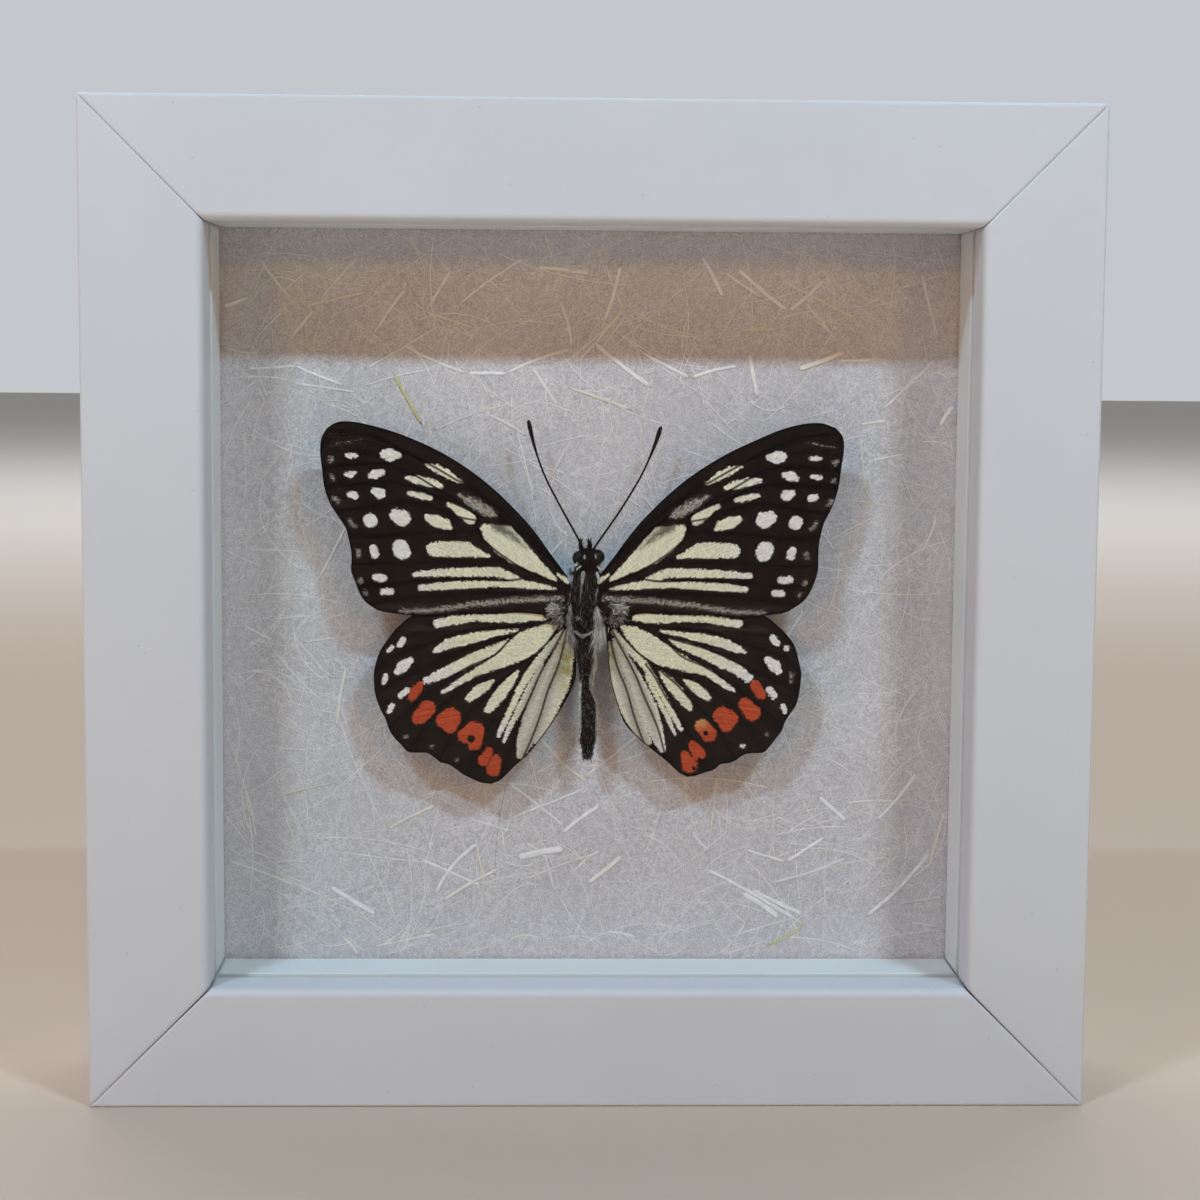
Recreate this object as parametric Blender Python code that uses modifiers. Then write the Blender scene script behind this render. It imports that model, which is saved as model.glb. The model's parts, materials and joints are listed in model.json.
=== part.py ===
# Framed butterfly specimen: a white box frame, glazed in front, with the spread insect held
# on a pin over a sheet of handmade paper. The frame stands on its bottom rail. X runs along
# the frame, Y from the glass to the back and Z up, in metres, and the origin is under the
# middle of the frame. Depths are measured from the front face of the frame.
import math

import bmesh
import bpy
from mathutils import Vector

# Frame
FRAME_SIDE = 0.150
FRAME_DEPTH = 0.032
RAIL_WIDTH = 0.018
WALL_WIDTH = 0.012
LIP_DEPTH = 0.0075
LIP_ROUNDING = 0.0013
EDGE_ROUNDING = 0.0005
MIN_GAP = 0.0003

# Layers inside the frame
GLASS_THICKNESS = 0.002
PAPER_DEPTH = 0.0196
PAPER_THICKNESS = 0.0003
BOARD_THICKNESS = 0.005
BACK_THICKNESS = 0.0025

# Steel points that hold the layers in
POINT_THICKNESS = 0.0006
POINT_WIDTH = 0.006
POINT_LENGTH = 0.014
POINT_IN_WOOD = 0.005
POINT_OFFSET = 0.033

# Sawtooth hanger on the back board
HANGER_LENGTH = 0.044
HANGER_HEIGHT = 0.008
HANGER_THICKNESS = 0.0007
HANGER_RAISE = 0.0015
HANGER_END = 0.007
HANGER_DROP = 0.024
TOOTH_COUNT = 13
TOOTH_PITCH = 0.002
TOOTH_DEPTH = 0.0014
BRAD_RADIUS = 0.0005
BRAD_HEAD_RADIUS = 0.0016
BRAD_HEAD_THICKNESS = 0.0006
BRAD_LENGTH = 0.0065

# Butterfly: places are (X, Z), and wing outlines are (outward from the two wings' middle, up
# from the middle of the thorax)
THORAX_PLACE = (-0.00095, 0.0748)
THORAX_HALF_SIZE = (0.0025, 0.0023, 0.0048)
ABDOMEN_X = -0.0004
BODY_DEPTH = 0.0146
HEAD_PLACE = (-0.0003, 0.0819)
HEAD_HALF_SIZE = (0.0014, 0.0011, 0.0014)
EYE_RADIUS = 0.0009
PALP_LENGTH = 0.0026
PIN_RADIUS = 0.00035
PIN_SINK = 0.0011

WING_THICKNESS = 0.0004
FOREWING_DEPTH = 0.0133
HINDWING_DEPTH = 0.0142
FOREWING_MIDDLE_X = -0.0011
HINDWING_MIDDLE_X = -0.0003
FOREWING_OUTLINE = (
    (0.0031, 0.0042), (0.0050, 0.0074), (0.0092, 0.0127), (0.0151, 0.0184), (0.0214, 0.0228),
    (0.0280, 0.0258), (0.0335, 0.0274), (0.0370, 0.0276), (0.0397, 0.0258), (0.0403, 0.0226),
    (0.0399, 0.0182), (0.0384, 0.0145), (0.0368, 0.0113), (0.0362, 0.0078), (0.0360, 0.0050),
    (0.0352, 0.0023), (0.0335, -0.0002), (0.0300, -0.0016), (0.0250, -0.0018),
    (0.0180, -0.0015), (0.0100, -0.0013), (0.0034, -0.0014),
)
HINDWING_OUTLINE = (
    (0.0040, -0.0016), (0.0120, 0.0012), (0.0210, 0.0010), (0.0270, -0.0019), (0.0298, -0.0038),
    (0.0319, -0.0066), (0.0330, -0.0106), (0.0327, -0.0154), (0.0311, -0.0179),
    (0.0302, -0.0201), (0.0278, -0.0230), (0.0251, -0.0233), (0.0231, -0.0246),
    (0.0209, -0.0253), (0.0195, -0.0268), (0.0162, -0.0275), (0.0128, -0.0258),
    (0.0092, -0.0226), (0.0059, -0.0189), (0.0030, -0.0126), (0.0030, -0.0075),
)
# Abdomen, turned: (radius, height from its upper end), through the waist to the blunt tip.
ABDOMEN_PROFILE = (
    (0.0, 0.0), (0.0010, -0.0004), (0.0012, -0.0020), (0.0009, -0.0050), (0.0008, -0.0080),
    (0.0010, -0.0110), (0.0013, -0.0140), (0.0013, -0.0160), (0.0010, -0.0183),
    (0.0005, -0.0192), (0.0, -0.0194),
)
ABDOMEN_TOP = 0.0692
# Antenna from its root to the tip of the club: (outward from the head's middle, height, radius).
ANTENNA_COURSE = (
    (0.0013, 0.0842, 0.00012), (0.0021, 0.0868, 0.00010), (0.0037, 0.0904, 0.00010),
    (0.0057, 0.0944, 0.00010), (0.0075, 0.0981, 0.00012), (0.0088, 0.1008, 0.00022),
    (0.0093, 0.1020, 0.00030), (0.0095, 0.1028, 0.00030), (0.0096, 0.1031, 0.00012),
)


def clear_scene():
    for obj in list(bpy.data.objects):
        bpy.data.objects.remove(obj)


def collection(name):
    made = bpy.data.collections.new(name)
    bpy.context.scene.collection.children.link(made)
    return made


def material(name, colour, roughness, metallic=0.0, transmission=0.0):
    made = bpy.data.materials.new(name)
    made.use_nodes = True
    shader = made.node_tree.nodes["Principled BSDF"]
    shader.inputs["Base Color"].default_value = (*colour, 1.0)
    shader.inputs["Roughness"].default_value = roughness
    shader.inputs["Metallic"].default_value = metallic
    shader.inputs["Transmission Weight"].default_value = transmission
    return made


def add_object(name, data, group, finish=None):
    obj = bpy.data.objects.new(name, data)
    group.objects.link(obj)
    if finish:
        data.materials.append(finish)
    return obj


def mesh_from(name, work):
    bmesh.ops.recalc_face_normals(work, faces=work.faces)
    mesh = bpy.data.meshes.new(name)
    work.to_mesh(mesh)
    work.free()
    return mesh


def at_depth(depth):
    return depth - FRAME_DEPTH / 2


def add_box(name, size, centre, group, finish=None):
    work = bmesh.new()
    bmesh.ops.create_cube(work, size=1.0)
    bmesh.ops.scale(work, vec=size, verts=work.verts)
    obj = add_object(name, mesh_from(name, work), group, finish)
    obj.location = centre
    return obj


def add_sphere(name, half_size, centre, group, finish=None, segments=18):
    work = bmesh.new()
    bmesh.ops.create_uvsphere(work, u_segments=segments, v_segments=segments // 2 + 2, radius=1.0)
    bmesh.ops.scale(work, vec=half_size, verts=work.verts)
    obj = add_object(name, mesh_from(name, work), group, finish)
    obj.data.shade_smooth()
    obj.location = centre
    return obj


def add_rod(name, radius, start_depth, end_depth, place, group, finish=None):
    # A round rod along Y between two depths.
    work = bmesh.new()
    bmesh.ops.create_cone(
        work, cap_ends=True, segments=16, radius1=radius, radius2=radius,
        depth=end_depth - start_depth,
    )
    obj = add_object(name, mesh_from(name, work), group, finish)
    obj.data.shade_smooth()
    obj.data.set_sharp_from_angle(angle=math.radians(40))
    obj.rotation_euler.x = math.pi / 2
    obj.location = (place[0], at_depth((start_depth + end_depth) / 2), place[1])
    return obj


def hide_cutter(obj):
    obj.hide_render = True
    obj.display_type = "WIRE"
    return obj


def add_boolean(obj, other, operation="DIFFERENCE"):
    modifier = obj.modifiers.new(operation.title(), "BOOLEAN")
    modifier.operation = operation
    modifier.object = other
    modifier.solver = "EXACT"


def rounded(corners, steps=4):
    # Each corner is (across, depth, radius), and a right angle: it becomes a quarter arc.
    points = []
    count = len(corners)
    for index, (across, depth, radius) in enumerate(corners):
        corner = Vector((across, depth))
        if radius == 0.0:
            points.append(corner)
            continue
        before = (Vector(corners[index - 1][:2]) - corner).normalized() * radius
        after = (Vector(corners[(index + 1) % count][:2]) - corner).normalized() * radius
        for step in range(steps + 1):
            turn = math.pi / 2 * step / steps
            points.append(corner + before * (1 - math.sin(turn)) + after * (1 - math.cos(turn)))
    return points


def add_mitred_strip(name, profile, quarter, group, finish):
    # The profile is (inward from the frame's outer face, depth). It is drawn for the bottom
    # side, extruded along X, cut at 45 degrees at both ends and turned to its own side.
    work = bmesh.new()
    half = FRAME_SIDE / 2
    verts = [work.verts.new((-half, at_depth(depth), inward - half)) for inward, depth in profile]
    face = work.faces.new(verts)
    swept = bmesh.ops.extrude_face_region(work, geom=[face])["geom"]
    moved = [item for item in swept if isinstance(item, bmesh.types.BMVert)]
    bmesh.ops.translate(work, verts=moved, vec=(FRAME_SIDE, 0.0, 0.0))
    for way in (-1.0, 1.0):
        normal = Vector((way, 0.0, 1.0)).normalized()
        cut = bmesh.ops.bisect_plane(
            work, geom=work.verts[:] + work.edges[:] + work.faces[:], dist=1e-7,
            plane_co=normal * (-MIN_GAP / 2), plane_no=normal, clear_outer=True,
        )
        edges = [item for item in cut["geom_cut"] if isinstance(item, bmesh.types.BMEdge)]
        bmesh.ops.contextual_create(work, geom=edges)
    obj = add_object(name, mesh_from(name, work), group, finish)
    obj.data.shade_smooth()
    obj.data.set_sharp_from_angle(angle=math.radians(35))
    obj.location.z = half
    obj.rotation_euler.y = quarter * math.pi / 2
    return obj


SIDES = ("bottom", "left", "top", "right")


def add_rails(group, finish):
    profile = rounded((
        (0.0, 0.0, EDGE_ROUNDING),
        (RAIL_WIDTH, 0.0, LIP_ROUNDING),
        (RAIL_WIDTH, LIP_DEPTH, 0.0),
        (WALL_WIDTH, LIP_DEPTH, 0.0),
        (WALL_WIDTH, FRAME_DEPTH, EDGE_ROUNDING),
        (0.0, FRAME_DEPTH, EDGE_ROUNDING),
    ))
    return {
        side: add_mitred_strip("rail_" + side, profile, quarter, group, finish)
        for quarter, side in enumerate(SIDES)
    }


def add_spacers(group, finish, front):
    profile = [
        (WALL_WIDTH + MIN_GAP, front),
        (RAIL_WIDTH, front),
        (RAIL_WIDTH, PAPER_DEPTH - MIN_GAP),
        (WALL_WIDTH + MIN_GAP, PAPER_DEPTH - MIN_GAP),
    ]
    for quarter, side in enumerate(SIDES):
        add_mitred_strip("spacer_" + side, profile, quarter, group, finish)


def add_layer(name, thickness, front, group, finish):
    side = FRAME_SIDE - 2 * (WALL_WIDTH + MIN_GAP)
    centre = (0.0, at_depth(front + thickness / 2), FRAME_SIDE / 2)
    return add_box(name, (side, thickness, side), centre, group, finish)


def add_outline(name, points, thickness, group, finish):
    # A flat plate: the outline lies in the object's own XY plane.
    curve = bpy.data.curves.new(name, "CURVE")
    curve.dimensions = "2D"
    curve.fill_mode = "BOTH"
    curve.extrude = thickness / 2
    spline = curve.splines.new("POLY")
    spline.points.add(len(points) - 1)
    for point, place in zip(spline.points, points):
        point.co = (*place, 0.0, 1.0)
    spline.use_cyclic_u = True
    return add_object(name, curve, group, finish)


def add_steel_points(rails, group, cutters, finish, front):
    # Two flat points on each side: their tips sit in slots of the rail's inner wall.
    half = POINT_WIDTH / 2
    tip = -POINT_IN_WOOD
    outline = (
        (0.0, tip), (half, tip + half), (half, tip + POINT_LENGTH), (-half, tip + POINT_LENGTH),
        (-half, tip + half),
    )
    for quarter, side in enumerate(SIDES):
        angle = quarter * math.pi / 2
        for number, way in enumerate((-1, 1), start=1):
            along = way * POINT_OFFSET
            inward = WALL_WIDTH - FRAME_SIDE / 2
            turned = Vector((
                along * math.cos(angle) + inward * math.sin(angle),
                at_depth(front + POINT_THICKNESS / 2),
                inward * math.cos(angle) - along * math.sin(angle) + FRAME_SIDE / 2,
            ))
            plate = add_outline(
                "point_%s_%d" % (side, number), outline, POINT_THICKNESS, group, finish
            )
            plate.location = turned
            plate.rotation_euler = (math.pi / 2, angle, 0.0)
            slot = (
                POINT_WIDTH + 2 * MIN_GAP,
                POINT_THICKNESS + 2 * MIN_GAP,
                2 * (POINT_IN_WOOD + MIN_GAP),
            )
            cutter = hide_cutter(add_box("slot_%s_%d" % (side, number), slot, turned, cutters))
            cutter.rotation_euler.y = angle
            add_boolean(rails[side], cutter)


def add_hanger(back_board, board, group, cutters, finish, back_face):
    # A strip with flat ends and a raised middle, toothed along its lower edge, and two brads.
    z = FRAME_SIDE / 2 + HANGER_DROP
    end = HANGER_LENGTH / 2
    step = end - HANGER_END
    low = at_depth(back_face + MIN_GAP)
    high = low + HANGER_RAISE
    course = (
        (-end, low), (-step, low), (-step + HANGER_RAISE, high),
        (step - HANGER_RAISE, high), (step, low), (end, low),
    )
    work = bmesh.new()
    ring = [(x, y) for x, y in course] + [(x, y + HANGER_THICKNESS) for x, y in reversed(course)]
    face = work.faces.new([work.verts.new((x, y, z - HANGER_HEIGHT / 2)) for x, y in ring])
    swept = bmesh.ops.extrude_face_region(work, geom=[face])["geom"]
    moved = [item for item in swept if isinstance(item, bmesh.types.BMVert)]
    bmesh.ops.translate(work, verts=moved, vec=(0.0, 0.0, HANGER_HEIGHT))
    hanger = add_object("hanger", mesh_from("hanger", work), group, finish)

    teeth = []
    bottom = z - HANGER_HEIGHT / 2 - MIN_GAP
    for tooth in range(TOOTH_COUNT):
        left = (tooth - TOOTH_COUNT / 2) * TOOTH_PITCH
        teeth += [(left + TOOTH_PITCH * 0.02, bottom + MIN_GAP / 2)]
        teeth += [(left + TOOTH_PITCH / 2, bottom + MIN_GAP + TOOTH_DEPTH)]
    right = TOOTH_COUNT / 2 * TOOTH_PITCH
    teeth += [(right, bottom + MIN_GAP / 2), (right, bottom - MIN_GAP), (-right, bottom - MIN_GAP)]
    work = bmesh.new()
    face = work.faces.new([work.verts.new((x, low - MIN_GAP, height)) for x, height in teeth])
    swept = bmesh.ops.extrude_face_region(work, geom=[face])["geom"]
    moved = [item for item in swept if isinstance(item, bmesh.types.BMVert)]
    reach = HANGER_RAISE + HANGER_THICKNESS + 2 * MIN_GAP
    bmesh.ops.translate(work, verts=moved, vec=(0.0, reach, 0.0))
    saw = hide_cutter(add_object("saw_cutter", mesh_from("saw_cutter", work), cutters))
    add_boolean(hanger, saw)

    head_depth = back_face + MIN_GAP + HANGER_THICKNESS + MIN_GAP
    for number, way in enumerate((-1, 1), start=1):
        place = (way * (end - HANGER_END / 2), z)
        add_brad("brad_%d" % number, place, head_depth, group, finish)
        hole = add_rod(
            "brad_hole_%d" % number, BRAD_RADIUS + MIN_GAP, back_face - 0.02,
            back_face + 0.01, place, cutters,
        )
        hide_cutter(hole)
        for cut in (hanger, back_board, board):
            add_boolean(cut, hole)


def add_brad(name, place, head_depth, group, finish):
    # A turned nail: the profile runs from the head's outer middle to the point.
    profile = (
        (0.0, BRAD_HEAD_THICKNESS), (BRAD_HEAD_RADIUS * 0.6, BRAD_HEAD_THICKNESS * 0.9),
        (BRAD_HEAD_RADIUS, BRAD_HEAD_THICKNESS * 0.3), (BRAD_HEAD_RADIUS, 0.0),
        (BRAD_RADIUS, 0.0), (BRAD_RADIUS, -BRAD_LENGTH * 0.85), (0.0, -BRAD_LENGTH),
    )
    obj = add_turned(name, profile, group, finish, steps=14)
    obj.rotation_euler.x = -math.pi / 2
    obj.location = (place[0], at_depth(head_depth), place[1])


def add_turned(name, profile, group, finish, steps=18):
    # The profile is (radius, height), from the top down at +X.
    work = bmesh.new()
    verts = [work.verts.new((radius, 0.0, height)) for radius, height in profile]
    for first, second in zip(verts, verts[1:]):
        work.edges.new((first, second))
    mesh = bpy.data.meshes.new(name)
    work.to_mesh(mesh)
    work.free()
    obj = add_object(name, mesh, group, finish)
    screw = obj.modifiers.new("Screw", "SCREW")
    screw.axis = "Z"
    screw.steps = steps
    screw.render_steps = steps
    screw.use_merge_vertices = True
    screw.merge_threshold = 0.00001
    screw.use_smooth_shade = True
    return obj


def smooth_loop(points, pieces=3):
    # A closed curve through the points (Catmull-Rom), each stretch read in a few pieces.
    count = len(points)
    course = []
    for index in range(count):
        a, b, c, d = (Vector(points[(index + shift) % count]) for shift in (-1, 0, 1, 2))
        for piece in range(pieces):
            t = piece / pieces
            course.append(0.5 * (
                2 * b + (c - a) * t + (2 * a - 5 * b + 4 * c - d) * t ** 2
                + (3 * b - a - 3 * c + d) * t ** 3
            ))
    return course


def add_wing(name, outline, middle_x, depth, way, group, finish):
    points = [(way * point.x, point.y) for point in smooth_loop(outline)]
    wing = add_outline(name, points, WING_THICKNESS, group, finish)
    wing.location = (middle_x, at_depth(depth), THORAX_PLACE[1])
    wing.rotation_euler.x = math.pi / 2


def add_antenna(name, way, group, finish):
    curve = bpy.data.curves.new(name, "CURVE")
    curve.dimensions = "3D"
    curve.bevel_depth = 1.0
    curve.bevel_resolution = 2
    curve.use_fill_caps = True
    spline = curve.splines.new("POLY")
    spline.points.add(len(ANTENNA_COURSE) - 1)
    for point, (outward, height, radius) in zip(spline.points, ANTENNA_COURSE):
        point.co = (HEAD_PLACE[0] + way * outward, at_depth(FOREWING_DEPTH), height, 1.0)
        point.radius = radius
    add_object(name, curve, group, finish)


def add_head(group, cutters, finish):
    centre = Vector((HEAD_PLACE[0], at_depth(BODY_DEPTH - 0.0006), HEAD_PLACE[1]))
    head = add_sphere("head", HEAD_HALF_SIZE, centre, group, finish, segments=16)
    for side, way in (("left", -1), ("right", 1)):
        eye = add_sphere(
            "eye_" + side, (EYE_RADIUS,) * 3,
            centre + Vector((way * HEAD_HALF_SIZE[0], -0.0003, 0.0002)), cutters, segments=14,
        )
        add_boolean(head, hide_cutter(eye), "UNION")
        work = bmesh.new()
        bmesh.ops.create_cone(
            work, cap_ends=True, segments=10, radius1=0.0004, radius2=0.0001, depth=PALP_LENGTH,
        )
        palp = add_object("palp_" + side, mesh_from("palp_" + side, work), cutters)
        palp.location = centre + Vector((way * 0.0006, -0.0001, 0.0019))
        add_boolean(head, hide_cutter(palp), "UNION")


def add_body(paper, board, group, cutters, finish, steel):
    x, z = THORAX_PLACE
    thorax = add_sphere(
        "thorax", THORAX_HALF_SIZE, (x, at_depth(BODY_DEPTH), z), group, finish, segments=20
    )
    abdomen = add_turned("abdomen", ABDOMEN_PROFILE, group, finish, steps=16)
    abdomen.location = (ABDOMEN_X, at_depth(BODY_DEPTH), ABDOMEN_TOP)
    belly = BODY_DEPTH + THORAX_HALF_SIZE[1]
    end = PAPER_DEPTH + PAPER_THICKNESS + BOARD_THICKNESS
    add_rod("support_pin", PIN_RADIUS, belly - PIN_SINK, end, (x, z), group, steel)
    hole = add_rod(
        "pin_hole", PIN_RADIUS + MIN_GAP, belly - PIN_SINK - MIN_GAP, FRAME_DEPTH, (x, z), cutters
    )
    hide_cutter(hole)
    for cut in (thorax, paper, board):
        add_boolean(cut, hole)


def add_butterfly(paper, board, group, cutters, steel):
    body = material("body_hair", (0.030, 0.024, 0.020), 0.9)
    wing = material("wing_scales", (0.035, 0.026, 0.021), 0.75)
    add_body(paper, board, group, cutters, body, steel)
    add_head(group, cutters, body)
    for side, way in (("left", -1), ("right", 1)):
        add_wing(
            "forewing_" + side, FOREWING_OUTLINE, FOREWING_MIDDLE_X, FOREWING_DEPTH, way, group,
            wing,
        )
        add_wing(
            "hindwing_" + side, HINDWING_OUTLINE, HINDWING_MIDDLE_X, HINDWING_DEPTH, way, group,
            wing,
        )
        add_antenna("antenna_" + side, way, group, body)


def main():
    clear_scene()
    group = collection("framed_butterfly")
    cutters = collection("cutters")
    cutters.hide_render = True

    lacquer = material("white_lacquer", (0.72, 0.73, 0.76), 0.35)
    steel = material("steel", (0.55, 0.56, 0.57), 0.35, metallic=1.0)
    rails = add_rails(group, lacquer)

    glass_front = LIP_DEPTH + MIN_GAP
    spacer_front = glass_front + GLASS_THICKNESS + MIN_GAP
    board_front = PAPER_DEPTH + PAPER_THICKNESS + MIN_GAP
    back_front = board_front + BOARD_THICKNESS + MIN_GAP
    back_face = back_front + BACK_THICKNESS

    clear = material("clear_glass", (1.0, 1.0, 1.0), 0.02, transmission=1.0)
    add_layer("glass_pane", GLASS_THICKNESS, glass_front, group, clear)
    add_spacers(group, lacquer, spacer_front)
    fibre = material("mulberry_paper", (0.48, 0.48, 0.49), 0.95)
    paper = add_layer("backing_paper", PAPER_THICKNESS, PAPER_DEPTH, group, fibre)
    foam = material("foam_board", (0.82, 0.81, 0.78), 0.8)
    board = add_layer("mount_board", BOARD_THICKNESS, board_front, group, foam)
    hardboard = material("hardboard", (0.28, 0.17, 0.10), 0.8)
    back_board = add_layer("back_board", BACK_THICKNESS, back_front, group, hardboard)

    add_steel_points(rails, group, cutters, steel, back_face + MIN_GAP)
    add_hanger(back_board, board, group, cutters, steel, back_face)
    add_butterfly(paper, board, group, cutters, steel)


main()
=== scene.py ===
import json
import math

import bmesh
import bpy
import numpy as np
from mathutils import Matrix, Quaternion, Vector

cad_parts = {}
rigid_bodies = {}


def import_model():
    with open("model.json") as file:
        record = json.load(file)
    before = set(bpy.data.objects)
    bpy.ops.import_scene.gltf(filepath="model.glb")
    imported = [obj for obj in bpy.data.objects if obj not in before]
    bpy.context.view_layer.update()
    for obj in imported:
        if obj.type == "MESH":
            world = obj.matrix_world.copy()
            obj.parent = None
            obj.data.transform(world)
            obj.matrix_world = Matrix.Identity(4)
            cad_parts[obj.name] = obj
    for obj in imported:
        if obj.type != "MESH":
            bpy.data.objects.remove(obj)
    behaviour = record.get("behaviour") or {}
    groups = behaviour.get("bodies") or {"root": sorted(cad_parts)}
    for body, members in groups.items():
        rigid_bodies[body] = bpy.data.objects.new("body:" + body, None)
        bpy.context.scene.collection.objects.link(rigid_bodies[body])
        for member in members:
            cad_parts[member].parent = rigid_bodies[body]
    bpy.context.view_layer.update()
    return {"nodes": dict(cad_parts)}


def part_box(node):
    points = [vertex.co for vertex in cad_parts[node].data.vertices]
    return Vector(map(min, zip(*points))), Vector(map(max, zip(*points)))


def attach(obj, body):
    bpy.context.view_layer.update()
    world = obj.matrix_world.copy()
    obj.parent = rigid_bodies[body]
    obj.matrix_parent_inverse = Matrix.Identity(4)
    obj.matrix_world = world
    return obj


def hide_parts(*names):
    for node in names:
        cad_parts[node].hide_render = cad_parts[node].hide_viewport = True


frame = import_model()
mm = 0.001


def nodeBox(node):
    low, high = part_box(node)
    return np.array(low), np.array(high)


frontY = nodeBox("rail_bottom")[0][1]
backY = nodeBox("rail_bottom")[1][1]
side = nodeBox("rail_bottom")[1][0] - nodeBox("rail_bottom")[0][0]
side = max(side, nodeBox("rail_left")[1][2] - nodeBox("rail_left")[0][2])
frameSide = round(side / mm) * mm  # the rails stop short of their mitre lines by the joint's gap
middleZ = frameSide / 2
paperY = nodeBox("backing_paper")[0][1]


def gridQuads(rows, cols, wrap=False):
    # Faces of a grid of points numbered row by row; wrap joins the last column to the first.
    across = cols if wrap else cols - 1
    row, col = np.meshgrid(np.arange(rows - 1), np.arange(across), indexing="ij")
    after = (col + 1) % cols
    corners = [row * cols + col, row * cols + after, (row + 1) * cols + after, (row + 1) * cols + col]
    return np.stack(corners, axis=-1).reshape(-1, 4)


def repeatedQuads(quads, pointsEach, count):
    # The same faces for each of many equal pieces, one block of points after another.
    return (quads[None] + (np.arange(count) * pointsEach)[:, None, None]).reshape(-1, 4)


def addPiece(name, points, quads, look, floats=None, uv=None, node=None):
    # Puts arrays into a mesh, merges points that coincide and turns all faces outwards.
    mesh = bpy.data.meshes.new(name)
    points = points.reshape(-1, 3)
    mesh.vertices.add(len(points))
    mesh.vertices.foreach_set("co", points.astype(np.float32).ravel())
    mesh.loops.add(quads.size)
    mesh.loops.foreach_set("vertex_index", quads.astype(np.int32).ravel())
    mesh.polygons.add(len(quads))
    mesh.polygons.foreach_set("loop_start", np.arange(0, quads.size, 4, dtype=np.int32))
    mesh.update(calc_edges=True)
    for key, values in (floats or {}).items():
        attribute = mesh.attributes.new(key, "FLOAT", "POINT")
        attribute.data.foreach_set("value", values.astype(np.float32).ravel())
    if uv is not None:
        layer = mesh.uv_layers.new(name="weave")
        layer.data.foreach_set("uv", uv.reshape(-1, 2)[quads.ravel()].astype(np.float32).ravel())
    work = bmesh.new()
    work.from_mesh(mesh)
    bmesh.ops.remove_doubles(work, verts=work.verts, dist=2e-7)
    bmesh.ops.recalc_face_normals(work, faces=work.faces)
    work.to_mesh(mesh)
    work.free()
    mesh.polygons.foreach_set("use_smooth", np.full(len(mesh.polygons), True))
    mesh.materials.append(look)
    piece = bpy.data.objects.new(name, mesh)
    bpy.context.scene.collection.objects.link(piece)
    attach(piece, "root")
    if node:
        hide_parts(node)
    return piece


def smoothCourse(points, count):
    # A Catmull-Rom curve through the points, read at equal steps along its length.
    points = np.array(points, float)
    padded = np.vstack([2 * points[0] - points[1], points, 2 * points[-1] - points[-2]])
    a, b, c, d = (padded[shift:len(points) - 1 + shift, None] for shift in range(4))
    t = np.linspace(0, 1, 24, endpoint=False)[None, :, None]
    curve = 0.5 * (2 * b + (c - a) * t + (2 * a - 5 * b + 4 * c - d) * t**2
                   + (3 * b - a - 3 * c + d) * t**3)
    curve = np.vstack([curve.reshape(-1, points.shape[1]), points[-1]])
    steps = np.linalg.norm(np.diff(curve[:, :3], axis=0), axis=1)
    along = np.concatenate([[0], np.cumsum(steps)])
    wanted = np.linspace(0, along[-1], count)
    return np.stack([np.interp(wanted, along, column) for column in curve.T], axis=1)


def ripple(x, z, wavelength, seed):
    # Gentle unevenness between about -1 and 1: plane waves in random directions, added.
    rng = np.random.default_rng(seed)
    waves = 7
    angle = rng.uniform(0, 2 * np.pi, waves)
    length = wavelength * rng.uniform(0.6, 1.6, waves)
    phase = rng.uniform(0, 2 * np.pi, waves)
    turn = 2 * np.pi / length
    total = sum(np.sin((x * np.cos(g) + z * np.sin(g)) * k + p) for g, k, p in zip(angle, turn, phase))
    return total / math.sqrt(waves)


def unit(vectors):
    return vectors / np.maximum(np.linalg.norm(vectors, axis=-1, keepdims=True), 1e-12)


def tubes(courses, radii, sides, flatness=1.0):
    # Many tubes at once. courses is (tube, ring, 3) and radii (tube, ring). A ring lies across
    # its course: the first axis is level with the sheet, and flatness thins the second one.
    nearlyBack = (0.013, 1.0, 0.007)  # off the Y axis, so that no course runs along it
    ahead = unit(np.gradient(courses, axis=1))
    first = unit(np.cross(ahead, nearlyBack))
    second = unit(np.cross(ahead, first))
    turn = np.linspace(0, 2 * np.pi, sides, endpoint=False)
    ring = (first[:, :, None] * np.cos(turn)[:, None]
            + second[:, :, None] * np.sin(turn)[:, None] * flatness)
    points = courses[:, :, None] + ring * radii[:, :, None, None]
    count, rings = radii.shape
    quads = repeatedQuads(gridQuads(rings, sides, wrap=True), rings * sides, count)
    return points, quads


def hairs(roots, ways, lengths, thickness, droop):
    # Each hair runs from its root along its way and bends with the square of the distance.
    # It is pointed at both ends, so that its tube is closed.
    rings, sides = 5, 3
    t = np.linspace(0, 1, rings)[None, :, None]
    courses = roots[:, None] + ways[:, None] * lengths[:, None, None] * t
    courses = courses + droop[:, None] * lengths[:, None, None] * t**2
    profile = np.interp(np.linspace(0, 1, rings), [0, 0.12, 0.55, 1], [0, 1, 0.75, 0])
    return tubes(courses, thickness[:, None] * profile, sides)


class Wire:
    # A socket in a Python expression: each operator adds the Math node that it names.
    def __init__(self, look, socket):
        self.look = look
        self.socket = socket

    def calc(self, operation, *terms):
        return self.look.add("Math", {"operation": operation}, dict(enumerate(terms)))

    def __add__(self, other):
        return self.calc("ADD", self, other)

    def __sub__(self, other):
        return self.calc("SUBTRACT", self, other)

    def __rsub__(self, other):
        return self.calc("SUBTRACT", other, self)

    def __mul__(self, other):
        return self.calc("MULTIPLY", self, other)

    def __pow__(self, other):
        return self.calc("POWER", self, other)

    __radd__ = __add__
    __rmul__ = __mul__

    def larger(self, other):
        return self.calc("MAXIMUM", self, other)


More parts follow.
